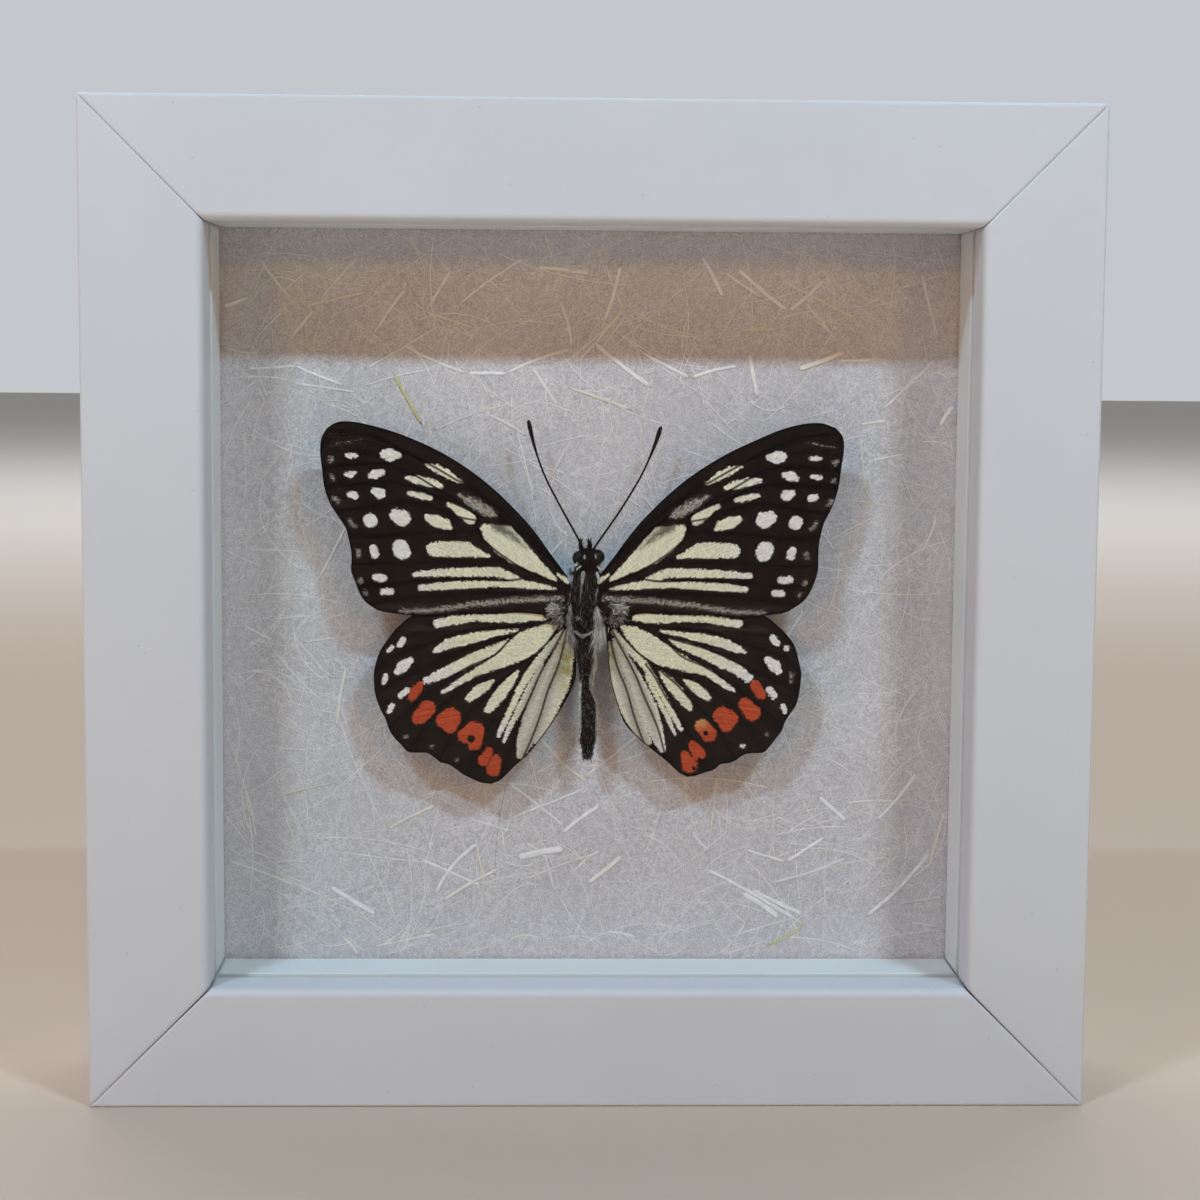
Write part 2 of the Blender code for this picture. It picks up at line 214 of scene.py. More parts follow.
class Look:
    # One material. add() makes any node from its type, its settings and its sockets' values.
    def __init__(self, name):
        self.material = bpy.data.materials.new(name)
        self.material.use_nodes = True
        self.tree = self.material.node_tree
        self.tree.nodes.clear()
        self.output = self.tree.nodes.new("ShaderNodeOutputMaterial")

    def fill(self, socket, value):
        if isinstance(value, Wire):
            self.tree.links.new(value.socket, socket)
        elif hasattr(socket.default_value, "__len__") and len(socket.default_value) == 4:
            socket.default_value = (*value, 1.0)
        else:
            socket.default_value = value

    def add(self, kind, settings=None, inputs=None, output=0):
        node = self.tree.nodes.new("ShaderNode" + kind)
        for key, value in (settings or {}).items():
            setattr(node, key, value)
        for key, value in (inputs or {}).items():
            self.fill(node.inputs[key], value)
        return Wire(self, node.outputs[output])

    def place(self):
        return self.add("TexCoord", output="Object")

    def attribute(self, name):
        return self.add("Attribute", {"attribute_name": name}, output="Fac")

    def stretched(self, vector, scale, turn=None):
        # A pattern turned in the sheet first and then stretched along its own axes.
        if turn:
            vector = self.add("Mapping", None, {"Vector": vector, "Rotation": (0.0, turn, 0.0)})
        return self.add("Mapping", None, {"Vector": vector, "Scale": scale})

    def noise(self, vector, scale, detail=2.0, roughness=0.5, distortion=0.0):
        return self.add("TexNoise", None, {
            "Vector": vector, "Scale": scale, "Detail": detail, "Roughness": roughness,
            "Distortion": distortion,
        })

    def cells(self, vector, scale, output="Distance"):
        return self.add("TexVoronoi", None, {"Vector": vector, "Scale": scale}, output)

    def scales(self, uv, along, across):
        # A random number for each overlapping scale, from the cells' colours.
        return self.cells(self.stretched(uv, (along, across, 1.0)), 1.0, "Color") * 1.0

    def ramp(self, value, low, high, start=0.0, end=1.0):
        # Smooth climb from start to end while the value goes from low to high.
        values = {"Value": value, "From Min": low, "From Max": high, "To Min": start, "To Max": end}
        return self.add("MapRange", {"interpolation_type": "SMOOTHSTEP"}, values)

    def blend(self, factor, first, second):
        return self.add("Mix", {"data_type": "RGBA"}, {0: factor, 6: first, 7: second}, output=2)

    def scaled(self, colour, factor):
        return self.add("VectorMath", {"operation": "SCALE"}, {0: colour, "Scale": factor})

    def bump(self, height, distance, strength):
        values = {"Height": height, "Distance": distance, "Strength": strength}
        return self.add("Bump", None, values)

    def finish(self, **sockets):
        # Sockets by their names in camel case, on one Principled shader.
        node = self.tree.nodes.new("ShaderNodeBsdfPrincipled")
        for key, value in sockets.items():
            words = "".join(" " + letter if letter.isupper() else letter for letter in key).title()
            self.fill(node.inputs[words.replace("Specular Level", "Specular IOR Level")], value)
        self.tree.links.new(node.outputs[0], self.output.inputs["Surface"])
        return self.material


def whiteLacquer(name, colour, shade):
    # Sprayed satin white: faint cloudiness, orange peel, a little grime in the noise's low spots.
    look = Look(name)
    place = look.place()
    cloud = look.noise(place, 38.0, detail=3.0)
    speck = look.ramp(look.cells(place, 210.0), 0.035, 0.055)
    peel = look.noise(place, 1500.0, detail=1.0)
    grain = look.noise(look.stretched(place, (90.0, 900.0, 900.0)), 1.0, detail=2.0)
    tone = look.blend(look.ramp(cloud, 0.35, 0.7), colour, tuple(part * shade for part in colour))
    tone = look.blend((1.0 - speck) * 0.22, tone, (0.42, 0.38, 0.34))
    rough = look.ramp(cloud, 0.3, 0.75, 0.42, 0.54) + (peel - 0.5) * 0.06
    height = peel * 0.6 + grain * 0.25 + look.noise(place, 260.0) * 0.9
    normal = look.bump(height, 0.012 * mm, 0.55)
    return look.finish(baseColor=tone, roughness=rough, normal=normal, specularLevel=0.45)


def clearGlass():
    # Almost everything passes straight through; a thin share mirrors, more at a slant.
    look = Look("clearGlass")
    through = look.add("BsdfTransparent", None, {"Color": (0.985, 0.993, 0.99)})
    smear = look.noise(look.place(), 45.0, detail=1.0)
    rough = look.ramp(smear, 0.3, 0.8, 0.015, 0.05)
    mirror = look.add("BsdfGlossy", None, {"Color": (1.0, 1.0, 1.0), "Roughness": rough})
    slant = look.add("LayerWeight", None, {"Blend": 0.5}, output="Facing")
    mixed = look.add("MixShader", None, {0: 0.006 + 0.55 * slant**5.0, 1: through, 2: mirror})
    look.fill(look.output.inputs["Surface"], mixed)
    return look.material


def handmadePaper():
    # Pale grey sheet: fine felted grain, cloudy pulp and faint flat fibres at three angles.
    look = Look("handmadePaper")
    place = look.place()
    pulp = look.noise(place, 45.0, detail=3.0, roughness=0.5)
    grain = look.noise(place, 4200.0, detail=2.0, roughness=0.6)
    felt = look.noise(place, 1300.0, detail=2.0, roughness=0.5)
    strands = None
    for turn in (0.35, 1.25, 2.5):
        laid = look.stretched(place, (55.0, 55.0, 1500.0), turn)
        strand = look.ramp(look.noise(laid, 1.0, detail=1.0, distortion=0.6), 0.64, 0.74)
        strands = strand if strands is None else strands.larger(strand)
    tone = look.blend(look.ramp(pulp, 0.3, 0.75), (0.690, 0.655, 0.682), (0.750, 0.712, 0.735))
    tone = look.blend(strands * 0.30, tone, (0.88, 0.87, 0.85))
    speckle = look.ramp(grain, 0.28, 0.74, 0.76, 1.20) * look.ramp(felt, 0.25, 0.8, 0.88, 1.10)
    normal = look.bump(grain * 0.8 + felt * 0.6, 0.14 * mm, 0.8)
    return look.finish(
        baseColor=look.scaled(tone, speckle), roughness=0.95, normal=normal, specularLevel=0.15
    )


def strawAndFibre():
    # Plant strips and bast fibres: tint runs from white to straw, shade from dim to bright.
    look = Look("strawAndFibre")
    tint, shade = look.attribute("tint"), look.attribute("shade")
    uv = look.add("UVMap", {"uv_map": "weave"})
    streak = look.noise(look.stretched(uv, (0.6, 9.0, 1.0)), 1.0, detail=3.0)
    tone = look.blend(look.ramp(tint, 0.0, 0.6), (0.87, 0.84, 0.85), (0.86, 0.80, 0.71))
    tone = look.blend(look.ramp(tint, 0.75, 1.0), tone, (0.74, 0.69, 0.42))
    tone = look.scaled(tone, shade * look.ramp(streak, 0.25, 0.75, 0.88, 1.07))
    normal = look.bump(streak, 0.04 * mm, 0.6)
    return look.finish(baseColor=tone, roughness=0.85, normal=normal, specularLevel=0.2)


def wingScales(name, creams):
    # Scale-covered membrane. The attributes hold distances in millimetres, above zero inside a
    # mark. Every scale is a cell with its own random value, which shifts the distance before it is
    # cut, so that a border steps from scale to scale.
    look = Look(name)
    uv = look.add("UVMap", {"uv_map": "weave"})
    scale = look.scales(uv, 6.5, 3.6)
    small = look.scales(uv, 11.0, 6.5)
    soft = look.noise(uv, 0.55, detail=3.0)
    streak = look.noise(look.stretched(uv, (4.2, 0.22, 1.0)), 1.0, detail=3.0, roughness=0.6)
    vein, rim, grey = (look.attribute(key) for key in ("vein", "rim", "grey"))
    fray = (scale - 0.5) * 0.36 + (small - 0.5) * 0.20 + (soft - 0.5) * 0.14
    pale = look.ramp(look.attribute("pale") + fray + grey * 0.22, -0.09, 0.01)
    pale = pale * (1.0 - look.ramp(look.attribute("veil") + fray * 2.2, 0.0, 0.9) * 0.8)
    dusted = look.ramp(look.attribute("dusted") + fray * 1.8, -0.10, 0.45) * look.ramp(small, 0.2, 0.6)
    red = look.ramp(look.attribute("red") + fray * 1.1, -0.12, 0.02)
    pupil = look.ramp(look.attribute("pupil") + fray * 0.5, 0.0, 0.08)
    bands = look.ramp(look.attribute("band") + (streak - 0.5) * 0.8 + fray, -0.1, 0.9)

    dark = look.blend(look.ramp(streak, 0.35, 0.68), (0.0065, 0.0032, 0.0026), (0.022, 0.0135, 0.0110))
    dark = look.blend(look.ramp(small, 0.62, 0.85) * 0.45, dark, (0.052, 0.037, 0.031))
    dark = look.blend(bands * look.ramp(scale, 0.25, 0.65) * 0.3, dark, (0.12, 0.095, 0.082))
    dark = look.blend(look.ramp(vein, 0.08, 0.42, 0.9, 0.0), dark, (0.006, 0.004, 0.004))
    dark = look.blend(look.ramp(rim, 0.10, 0.45, 0.92, 0.0), dark, (0.005, 0.004, 0.004))

    relief = look.ramp(scale, 0.2, 0.8, 0.88, 1.06)
    cream = look.blend(look.ramp(look.attribute("outward"), 0.55, 0.80), creams["near"], creams["far"])
    cream = look.blend(grey, cream, creams["fold"])
    cream = look.blend(look.attribute("stain") * look.ramp(soft, 0.3, 0.6), cream, (0.36, 0.30, 0.075))
    cream = look.blend(look.ramp(vein, 0.15, 1.3, 0.42, 0.0) * grey, cream, (0.20, 0.155, 0.105))
    cream = look.blend(look.ramp(vein, 0.07, 0.27, 0.88, 0.0), cream, (0.030, 0.022, 0.015))
    cream = look.scaled(cream, look.ramp(small, 0.2, 0.8, 0.86, 1.08) * relief)
    cream = look.scaled(cream, look.ramp(streak, 0.25, 0.75, 0.88, 1.08))
    brick = look.blend(look.ramp(streak, 0.3, 0.7), (0.47, 0.062, 0.026), (0.68, 0.112, 0.045))
    brick = look.blend(look.attribute("ochre"), brick, (0.70, 0.36, 0.14))
    brick = look.scaled(brick, look.ramp(small, 0.2, 0.8, 0.80, 1.10) * relief)

    tone = look.blend(dusted * 0.85, dark, creams["dust"])
    tone = look.blend(pale, tone, cream)
    tone = look.blend(red, tone, brick)
    tone = look.blend(pupil, tone, (0.009, 0.006, 0.005))
    tone = look.blend(look.ramp(rim, 0.08, 0.26, 0.95, 0.0), tone, (0.006, 0.004, 0.004))
    normal = look.bump(scale * 0.7 + small * 0.5, 0.03 * mm, 0.5)
    rough = look.ramp(scale, 0.3, 0.7, 0.62, 0.84)
    return look.finish(baseColor=tone, roughness=rough, normal=normal, specularLevel=0.03)


def bodyFur():
    # Hair by its shade, from dark brown at 0 to white at 1; two small pale tufts by the eyes use it as
    # painted highlights. The tint turns some of it straw.
    look = Look("bodyFur")
    tone = look.blend(look.attribute("shade"), (0.008, 0.0048, 0.0038), (0.90, 0.88, 0.85))
    tone = look.blend(look.attribute("tint"), tone, (0.62, 0.56, 0.34))
    speckle = look.ramp(look.noise(look.place(), 4000.0), 0.2, 0.8, 0.8, 1.15)
    return look.finish(baseColor=look.scaled(tone, speckle), roughness=0.6, specularLevel=0.12)


def dryCuticle(name, dark, light, rough):
    # Dry skin of the insect: fine pits, scurf and broad stripes from the shade attribute; on the head shell
    # the same attribute paints pale highlights.
    look = Look(name)
    place = look.place()
    pits = look.cells(place, 7000.0)
    scurf = look.noise(place, 2600.0, detail=3.0, roughness=0.7)
    stripe = look.ramp(look.attribute("shade") + (scurf - 0.5) * 0.9, 0.35, 0.75)
    tone = look.blend(stripe, dark, light)
    tone = look.scaled(tone, look.ramp(scurf, 0.25, 0.8, 0.6, 1.35))
    normal = look.bump(pits * 0.6 + scurf, 0.05 * mm, 0.8)
    return look.finish(baseColor=tone, roughness=rough, normal=normal, specularLevel=0.10)


def compoundEye():
    # Close-set facets over a dark brown dome with paler pools.
    look = Look("compoundEye")
    place = look.place()
    facets = look.cells(place, 16000.0)
    pool = look.ramp(look.noise(place, 1300.0, detail=2.0), 0.52, 0.72)
    tone = look.blend(pool, (0.003, 0.0025, 0.0025), (0.018, 0.015, 0.014))
    normal = look.bump(facets, 0.012 * mm, 0.7)
    return look.finish(baseColor=tone, roughness=0.30, normal=normal, specularLevel=0.25)


def pressedHardboard():
    # Brown fibreboard: felted flecks, darker specks and a faint screen pattern.
    look = Look("pressedHardboard")
    place = look.place()
    flecks = look.noise(place, 900.0, detail=4.0, roughness=0.7)
    cloud = look.noise(place, 60.0, detail=3.0)
    fibre = look.noise(look.stretched(place, (260.0, 260.0, 1900.0), 0.3), 1.0, detail=2.0)
    tone = look.blend(look.ramp(cloud, 0.3, 0.7), (0.165, 0.088, 0.045), (0.235, 0.130, 0.068))
    tone = look.blend(look.ramp(fibre, 0.55, 0.75) * 0.5, tone, (0.34, 0.21, 0.12))
    tone = look.scaled(tone, look.ramp(flecks, 0.3, 0.75, 0.72, 1.22))
    normal = look.bump(flecks + fibre * 0.6, 0.09 * mm, 0.7)
    rough = look.ramp(flecks, 0.3, 0.7, 0.62, 0.82)
    return look.finish(baseColor=tone, roughness=rough, normal=normal, specularLevel=0.3)


def foamCore():
    # White faced foam: fine bubbles and a slightly warm, uneven white.
    look = Look("foamCore")
    place = look.place()
    bubbles = look.cells(place, 2600.0)
    tone = look.blend(look.ramp(look.noise(place, 90.0), 0.3, 0.7), (0.74, 0.73, 0.70), (0.82, 0.81, 0.78))
    normal = look.bump(bubbles, 0.06 * mm, 0.5)
    return look.finish(baseColor=tone, roughness=0.75, normal=normal)


def platedSteel():
    # Zinc-bright steel: brushing, dull patches and a few dark specks.
    look = Look("platedSteel")
    place = look.place()
    brushing = look.noise(look.stretched(place, (400.0, 400.0, 6000.0)), 1.0, detail=2.0)
    patch = look.noise(place, 420.0, detail=3.0)
    speck = look.ramp(look.cells(place, 700.0), 0.05, 0.09)
    tone = look.blend((1.0 - speck) * 0.5, (0.60, 0.61, 0.62), (0.10, 0.09, 0.08))
    tone = look.scaled(tone, look.ramp(patch, 0.3, 0.7, 0.82, 1.08))
    rough = look.ramp(patch, 0.3, 0.7, 0.26, 0.46) + (brushing - 0.5) * 0.12
    normal = look.bump(brushing, 0.01 * mm, 0.5)
    return look.finish(baseColor=tone, metallic=1.0, roughness=rough, normal=normal)


def paintNode(node, look):
    piece = frame["nodes"][node]
    piece.data.materials.clear()
    piece.data.materials.append(look)


rails = {
    "lipRound": 1.2 * mm,
    "edgeRound": 0.45 * mm,
    "endChamfer": 0.09 * mm,
    "topJoint": (0.035 * mm, 0.035 * mm),  # half gap of a mitre at its outer and inner end
    "bottomJoint": (0.04 * mm, 0.15 * mm),
    "colour": (0.73, 0.77, 0.81),
}
spacers = {"round": 0.25 * mm, "topJoint": (0.05 * mm, 0.05 * mm), "bottomJoint": (0.06 * mm, 0.10 * mm),
           "colour": (0.90, 0.94, 0.95)}
frameSides = ("bottom", "left", "top", "right")


def roundedProfile(corners, steps=7):
    # Right-angled corners (across, depth, radius), each made a quarter arc between two tangent
    # points, with one more point just before and after, so that the flats stay flat.
    points = []
    for index, (across, depth, radius) in enumerate(corners):
        corner = np.array([across, depth])
        before = unit(np.array(corners[index - 1][:2]) - corner)
        after = unit(np.array(corners[(index + 1) % len(corners)][:2]) - corner)
        turn = np.linspace(0, np.pi / 2, steps)[:, None]
        arc = corner + radius * (before * (1 - np.sin(turn)) + after * (1 - np.cos(turn)))
        spare = min(0.12 * mm, radius)
        points += [arc[:1] + before * spare, arc, arc[-1:] + after * spare]
    return np.vstack(points)


def mitredStrip(profile, centre, quarter, startJoint, endJoint, chamfer):
    # The profile carried along a side of the frame. At an end, a point stands at half the side
    # less its own distance inward, less the joint's half gap, which widens evenly inward.
    width = profile[:, 0].max()
    inward = profile[:, 0]
    normal = unit(np.roll(profile, -1, axis=0) - np.roll(profile, 1, axis=0))
    inset = np.stack([-normal[:, 1], normal[:, 0]], axis=1) * chamfer
    if np.sum((centre - profile) * inset) < 0:
        inset = -inset
    rings = []
    for way, joint in ((-1, startJoint), (1, endJoint)):
        gap = joint[0] + (joint[1] - joint[0]) * inward / width
        reach = frameSide / 2 - inward - gap
        capGap = joint[0] + (joint[1] - joint[0]) * centre[0] / width
        cap = np.tile([frameSide / 2 - centre[0] - capGap, *centre], (len(profile), 1))
        end = np.column_stack([reach, profile + inset])
        near = np.column_stack([reach - chamfer, profile])
        far = np.column_stack([reach - 8 * chamfer, profile])
        group = [cap, end, near, far]
        rings += [ring * (way, 1, 1) for ring in (group if way < 0 else group[::-1])]
    rings = np.array(rings)
    x, across, depth = rings[..., 0], rings[..., 1] - frameSide / 2, rings[..., 2]
    cos, sin = [(1, 0), (0, 1), (-1, 0), (0, -1)][quarter]
    points = np.stack([x * cos + across * sin, depth + frontY, across * cos - x * sin + middleZ], axis=-1)
    return points, gridQuads(len(rings), len(profile), wrap=True)


def buildFrame():
    lipBack = nodeBox("glass_pane")[0][1] - frontY - 0.3 * mm
    railWidth = nodeBox("rail_bottom")[1][2]
    wall = nodeBox("glass_pane")[0][2] - 0.3 * mm
    depth = backY - frontY
    small = 0.2 * mm
    outline = roundedProfile((
        (0.0, 0.0, rails["edgeRound"]), (railWidth, 0.0, rails["lipRound"]),
        (railWidth, lipBack, small), (wall, lipBack, small), (wall, depth, rails["edgeRound"]),
        (0.0, depth, rails["edgeRound"]),
    ))
    lacquer = whiteLacquer("whiteLacquer", rails["colour"], 0.97)
    spacerLow, spacerHigh = nodeBox("spacer_bottom")
    strip = roundedProfile([
        (across, back - frontY, spacers["round"])
        for across, back in (
            (spacerLow[2], spacerLow[1]), (spacerHigh[2], spacerLow[1]),
            (spacerHigh[2], spacerHigh[1]), (spacerLow[2], spacerHigh[1]),
        )
    ])
    matt = whiteLacquer("mattWhite", spacers["colour"], 0.96)
    stripMiddle = strip.mean(axis=0)
    for quarter, name in enumerate(frameSides):
        # Along each strip, the start is the corner at its low X before it is turned.
        ends = {"bottom": ("bottomJoint", "bottomJoint"), "top": ("topJoint", "topJoint"),
                "left": ("topJoint", "bottomJoint"), "right": ("bottomJoint", "topJoint")}[name]
        joints = [rails[end] for end in ends]
        core = np.array([wall / 2, lipBack / 2])
        points, quads = mitredStrip(outline, core, quarter, *joints, rails["endChamfer"])
        addPiece("rail" + name.title(), points, quads, lacquer, node="rail_" + name)
        joints = [spacers[end] for end in ends]
        points, quads = mitredStrip(strip, stripMiddle, quarter, *joints, rails["endChamfer"])
        addPiece("spacer" + name.title(), points, quads, matt, node="spacer_" + name)
    paintNode("glass_pane", clearGlass())
    print("frame: rails, spacers and glass")


paper = {
    "rows": 130,
    "cockle": 0.10 * mm,
    "strawCount": 190,
    "fibreCount": 760,
    "seed": 11,
    # Strips that stand out: both ends from the sheet's middle, half width, tint and shade.
    "placed": (
        (-30.5, 35, -26, 27, 0.34, 1.0, 0.92),
        (-3.5, 33, 6.5, 29.5, 0.26, 0.7, 0.98),
        (28.5, -55, 34.5, -51.5, 0.24, 1.0, 0.92),
        (38, 37.5, 45, 38, 0.24, 0.7, 1.04),
        (32, 36, 39.5, 39, 0.46, 0.4, 1.10),
        (-29, 39.5, -19, 35, 0.26, 0.3, 1.12),
        (-19, 35, -13, 35, 0.28, 0.1, 1.15),
        (-13, 35, -3, 39, 0.26, 0.3, 1.12),
        (-53, 35.5, -45.5, 36, 0.18, 0.1, 1.10),
        (-45.5, 36, -38, 33, 0.20, 0.1, 1.12),
        (-51, 52.5, -46, 46, 0.20, 0.1, 1.08),
        (-44.5, 45, -34, 47.5, 0.18, 0.4, 1.02),
        (-57, 45, -52.5, 46.5, 0.36, 0.1, 1.05),
        (-33.5, 41, -28.5, 48, 0.26, 0.1, 1.08),
        (-29.5, 50.5, -25, 43.5, 0.13, 0.6, 0.72),
        (-25, 45, -21.5, 51, 0.28, 0.1, 1.06),
        (-20.5, 45.5, -10, 53, 0.20, 0.1, 1.10),
        (-25.5, 44.5, -18, 42, 0.20, 0.4, 1.02),
        (-8.5, 51.5, 0, 50.5, 0.30, 0.3, 1.10),
        (-5, 46.5, -3, 39, 0.20, 0.1, 1.10),
        (-9, 36, -5, 30, 0.24, 0.2, 1.10),
        (4.5, 52, 2, 43, 0.30, 0.1, 1.12),
        (17, 53.5, 20.5, 47, 0.36, 0.1, 1.10),
        (20.5, 51, 26.5, 47, 0.20, 0.1, 1.08),
        (22.5, 51.5, 30.5, 45, 0.36, 0.1, 1.10),
        (30.5, 45, 36, 50, 0.36, 0.1, 1.08),
        (33, 46.5, 38.5, 40, 0.20, 0.1, 1.06),
        (0.5, 40, 9.5, 33, 0.38, 0.1, 1.10),
        (8, 38.5, 15.5, 34.5, 0.24, 0.1, 1.12),
        (15.5, 34.5, 23, 36.5, 0.28, 0.2, 1.12),
        (24.5, 38.5, 26, 31.5, 0.38, 0.2, 1.10),
        (54.5, 27.5, 56.5, 30.5, 0.36, 0.3, 1.14),
        (-48, -31, -39.5, -29, 0.16, 0.7, 0.84),
        (-31.5, -36.5, -23.5, -32.5, 0.24, 0.6, 1.0),
        (-40.5, -45.5, -33, -50, 0.42, 0.1, 1.10),
        (-26.5, -41, -16.5, -45.5, 0.24, 0.1, 1.10),
        (-24, -47, -17, -38.5, 0.34, 0.1, 1.08),
        (-23, -48, -13.5, -42.5, 0.28, 0.4, 1.04),
        (-11, -41, -3.5, -39.5, 0.60, 0.1, 1.08),
        (-13, -28.5, -3.5, -36, 0.20, 0.1, 1.08),
        (-4, -37, 2, -32.5, 0.34, 0.1, 1.12),
        (-12.5, -28, -14.5, -45.5, 0.08, 0.5, 0.66),
        (0, -45, 5.5, -40.5, 0.38, 0.4, 1.08),
        (18.5, -42.5, 33.5, -51, 0.28, 0.1, 1.12),
        (24.5, -46.5, 30.5, -50.5, 0.46, 0.1, 1.10),
        (26, -46, 34.5, -50, 0.38, 0.1, 1.08),
        (31.5, -41.5, 37.5, -37.5, 0.30, 0.1, 1.14),
        (25, -39.5, 31.5, -41.5, 0.20, 0.1, 1.10),
        (36.5, -31, 41, -35, 0.38, 0.1, 1.10),
        (45.5, -35, 52, -27, 0.26, 0.1, 1.14),
        (44, -50.5, 54.5, -39.5, 0.34, 0.1, 1.08),
        (54, -43, 57, -33, 0.20, 0.7, 1.02),
    ),
}


def paperHeight(x, z, half):
    # Cockling in front of the flat sheet, faded out towards the spacers.
    fade = np.clip((half - np.maximum(np.abs(x), np.abs(z - middleZ))) / (14 * mm) - 0.35, 0, 1)
    return fade * paper["cockle"] * (1.0 + ripple(x, z, 34 * mm, 5))


def strips(starts, ends, halfWidths, sags, tints, shades, rings, sides, thickness, half):
    # Strips lying on the sheet from start to end, bowed sideways by sag times their length.
    t = np.linspace(0, 1, rings)[None, :]
    line = ends - starts
    aside = np.stack([-line[:, 1], line[:, 0]], axis=1)
    bow = (4 * t * (1 - t) * sags[:, None])[..., None]
    flat = starts[:, None] + line[:, None] * t[..., None] + aside[:, None] * bow
    width = halfWidths[:, None] * np.interp(t, [0, 0.02, 0.06, 0.94, 0.98, 1], [0, 0.6, 1, 1, 0.6, 0])
    lift = paperY - paperHeight(flat[..., 0], flat[..., 1], half) - 0.3 * thickness
    courses = np.stack([flat[..., 0], lift, flat[..., 1]], axis=-1)
    ratio = thickness / halfWidths.mean()
    points, quads = tubes(courses, width, sides, flatness=ratio)
    spread = (len(starts), rings, sides)
    length = np.linalg.norm(line, axis=1)[:, None, None] / mm
    uv = np.stack([
        np.broadcast_to(t[..., None] * length + tints[:, None, None] * 90, spread),
        np.broadcast_to(np.linspace(0, 1, sides)[None, None] * halfWidths[:, None, None] / mm, spread),
    ], axis=-1)
    floats = {"tint": np.broadcast_to(tints[:, None, None], spread),
              "shade": np.broadcast_to(shades[:, None, None], spread)}
    return points, quads, floats, uv


def scattered(rng, count, reach, shortest, longest):
    # Random places on the sheet, with lengths that favour short pieces, kept inside the reach.
    middle = rng.uniform(-reach, reach, (count, 2)) + (0, middleZ)
    length = shortest + (longest - shortest) * rng.uniform(0, 1, count) ** 1.8
    angle = rng.uniform(0, np.pi, count)
    arm = 0.5 * length[:, None] * np.stack([np.cos(angle), np.sin(angle)], axis=1)
    edge = np.array([[-reach, middleZ - reach], [reach, middleZ + reach]])
    return np.clip(middle - arm, *edge), np.clip(middle + arm, *edge)


def buildPaper():
    low, high = nodeBox("backing_paper")
    half = (high[0] - low[0]) / 2
    steps = np.linspace(-half, half, paper["rows"])
    x, z = np.meshgrid(steps, steps + middleZ, indexing="ij")
    front = np.stack([x, paperY - paperHeight(x, z, half), z], axis=-1)
    back = np.stack([x, np.full_like(x, high[1]), z], axis=-1)
    edge = (np.abs(x) > half - 1e-6) | (np.abs(z - middleZ) > half - 1e-6)
    front[edge, 1] = back[edge, 1] = (paperY + high[1]) / 2
    points = np.concatenate([front.reshape(-1, 3), back.reshape(-1, 3)])
    quads = gridQuads(paper["rows"], paper["rows"])
    quads = np.concatenate([quads, quads[:, ::-1] + x.size])
    addPiece("paperSheet", points, quads, handmadePaper(), node="backing_paper")

    look = strawAndFibre()
    rng = np.random.default_rng(paper["seed"])
    reach = frameSide / 2 - nodeBox("rail_bottom")[1][2] - 0.4 * mm
    count = paper["strawCount"]
    starts, ends = scattered(rng, count, reach, 4 * mm, 15 * mm)
    widths = 0.08 * mm + 0.18 * mm * rng.uniform(0, 1, count) ** 1.6
    sags = rng.normal(0, 0.035, count)
    tints = rng.uniform(0, 0.75, count) ** 2
    shades = rng.uniform(0.92, 1.08, count)
    placed = np.array(paper["placed"])
    corner = np.array([[-reach, middleZ - reach], [reach, middleZ + reach]])
    starts = np.vstack([starts, np.clip(placed[:, 0:2] * mm + (0, middleZ), *corner)])
    ends = np.vstack([ends, np.clip(placed[:, 2:4] * mm + (0, middleZ), *corner)])
    widths = np.append(widths, placed[:, 4] * mm)
    tints = np.append(tints, placed[:, 5])
    shades = np.append(shades, placed[:, 6])
    sags = np.append(sags, rng.normal(0, 0.03, len(placed)))
    points, quads, floats, uv = strips(
        starts, ends, widths, sags, tints, shades, 12, 6, 0.05 * mm, half
    )
    addPiece("strawStrips", points, quads, look, floats, uv)

    count = paper["fibreCount"]
    starts, ends = scattered(rng, count, reach, 5 * mm, 24 * mm)
    widths = rng.uniform(0.03, 0.10, count) * mm
    points, quads, floats, uv = strips(
        starts, ends, widths, rng.normal(0, 0.10, count), rng.uniform(0, 0.5, count),
        rng.uniform(0.98, 1.20, count), 18, 4, 0.045 * mm, half,
    )
    addPiece("paperFibres", points, quads, look, floats, uv)
    print("paper: sheet, straw and fibres")


def buildBack():
    steel = platedSteel()
    paintNode("back_board", pressedHardboard())
    paintNode("mount_board", foamCore())
    for node in frame["nodes"]:
        if node.startswith(("point_", "hanger", "brad_", "support_pin")):
            paintNode(node, steel)
    print("back: boards, points and hanger")


thoraxMiddle = (nodeBox("thorax")[0] + nodeBox("thorax")[1]) / 2
wingHalf = 0.2 * mm  # half the thickness of the CAD wing
wingFilm = 0.07 * mm
veinRidge = 0.055 * mm

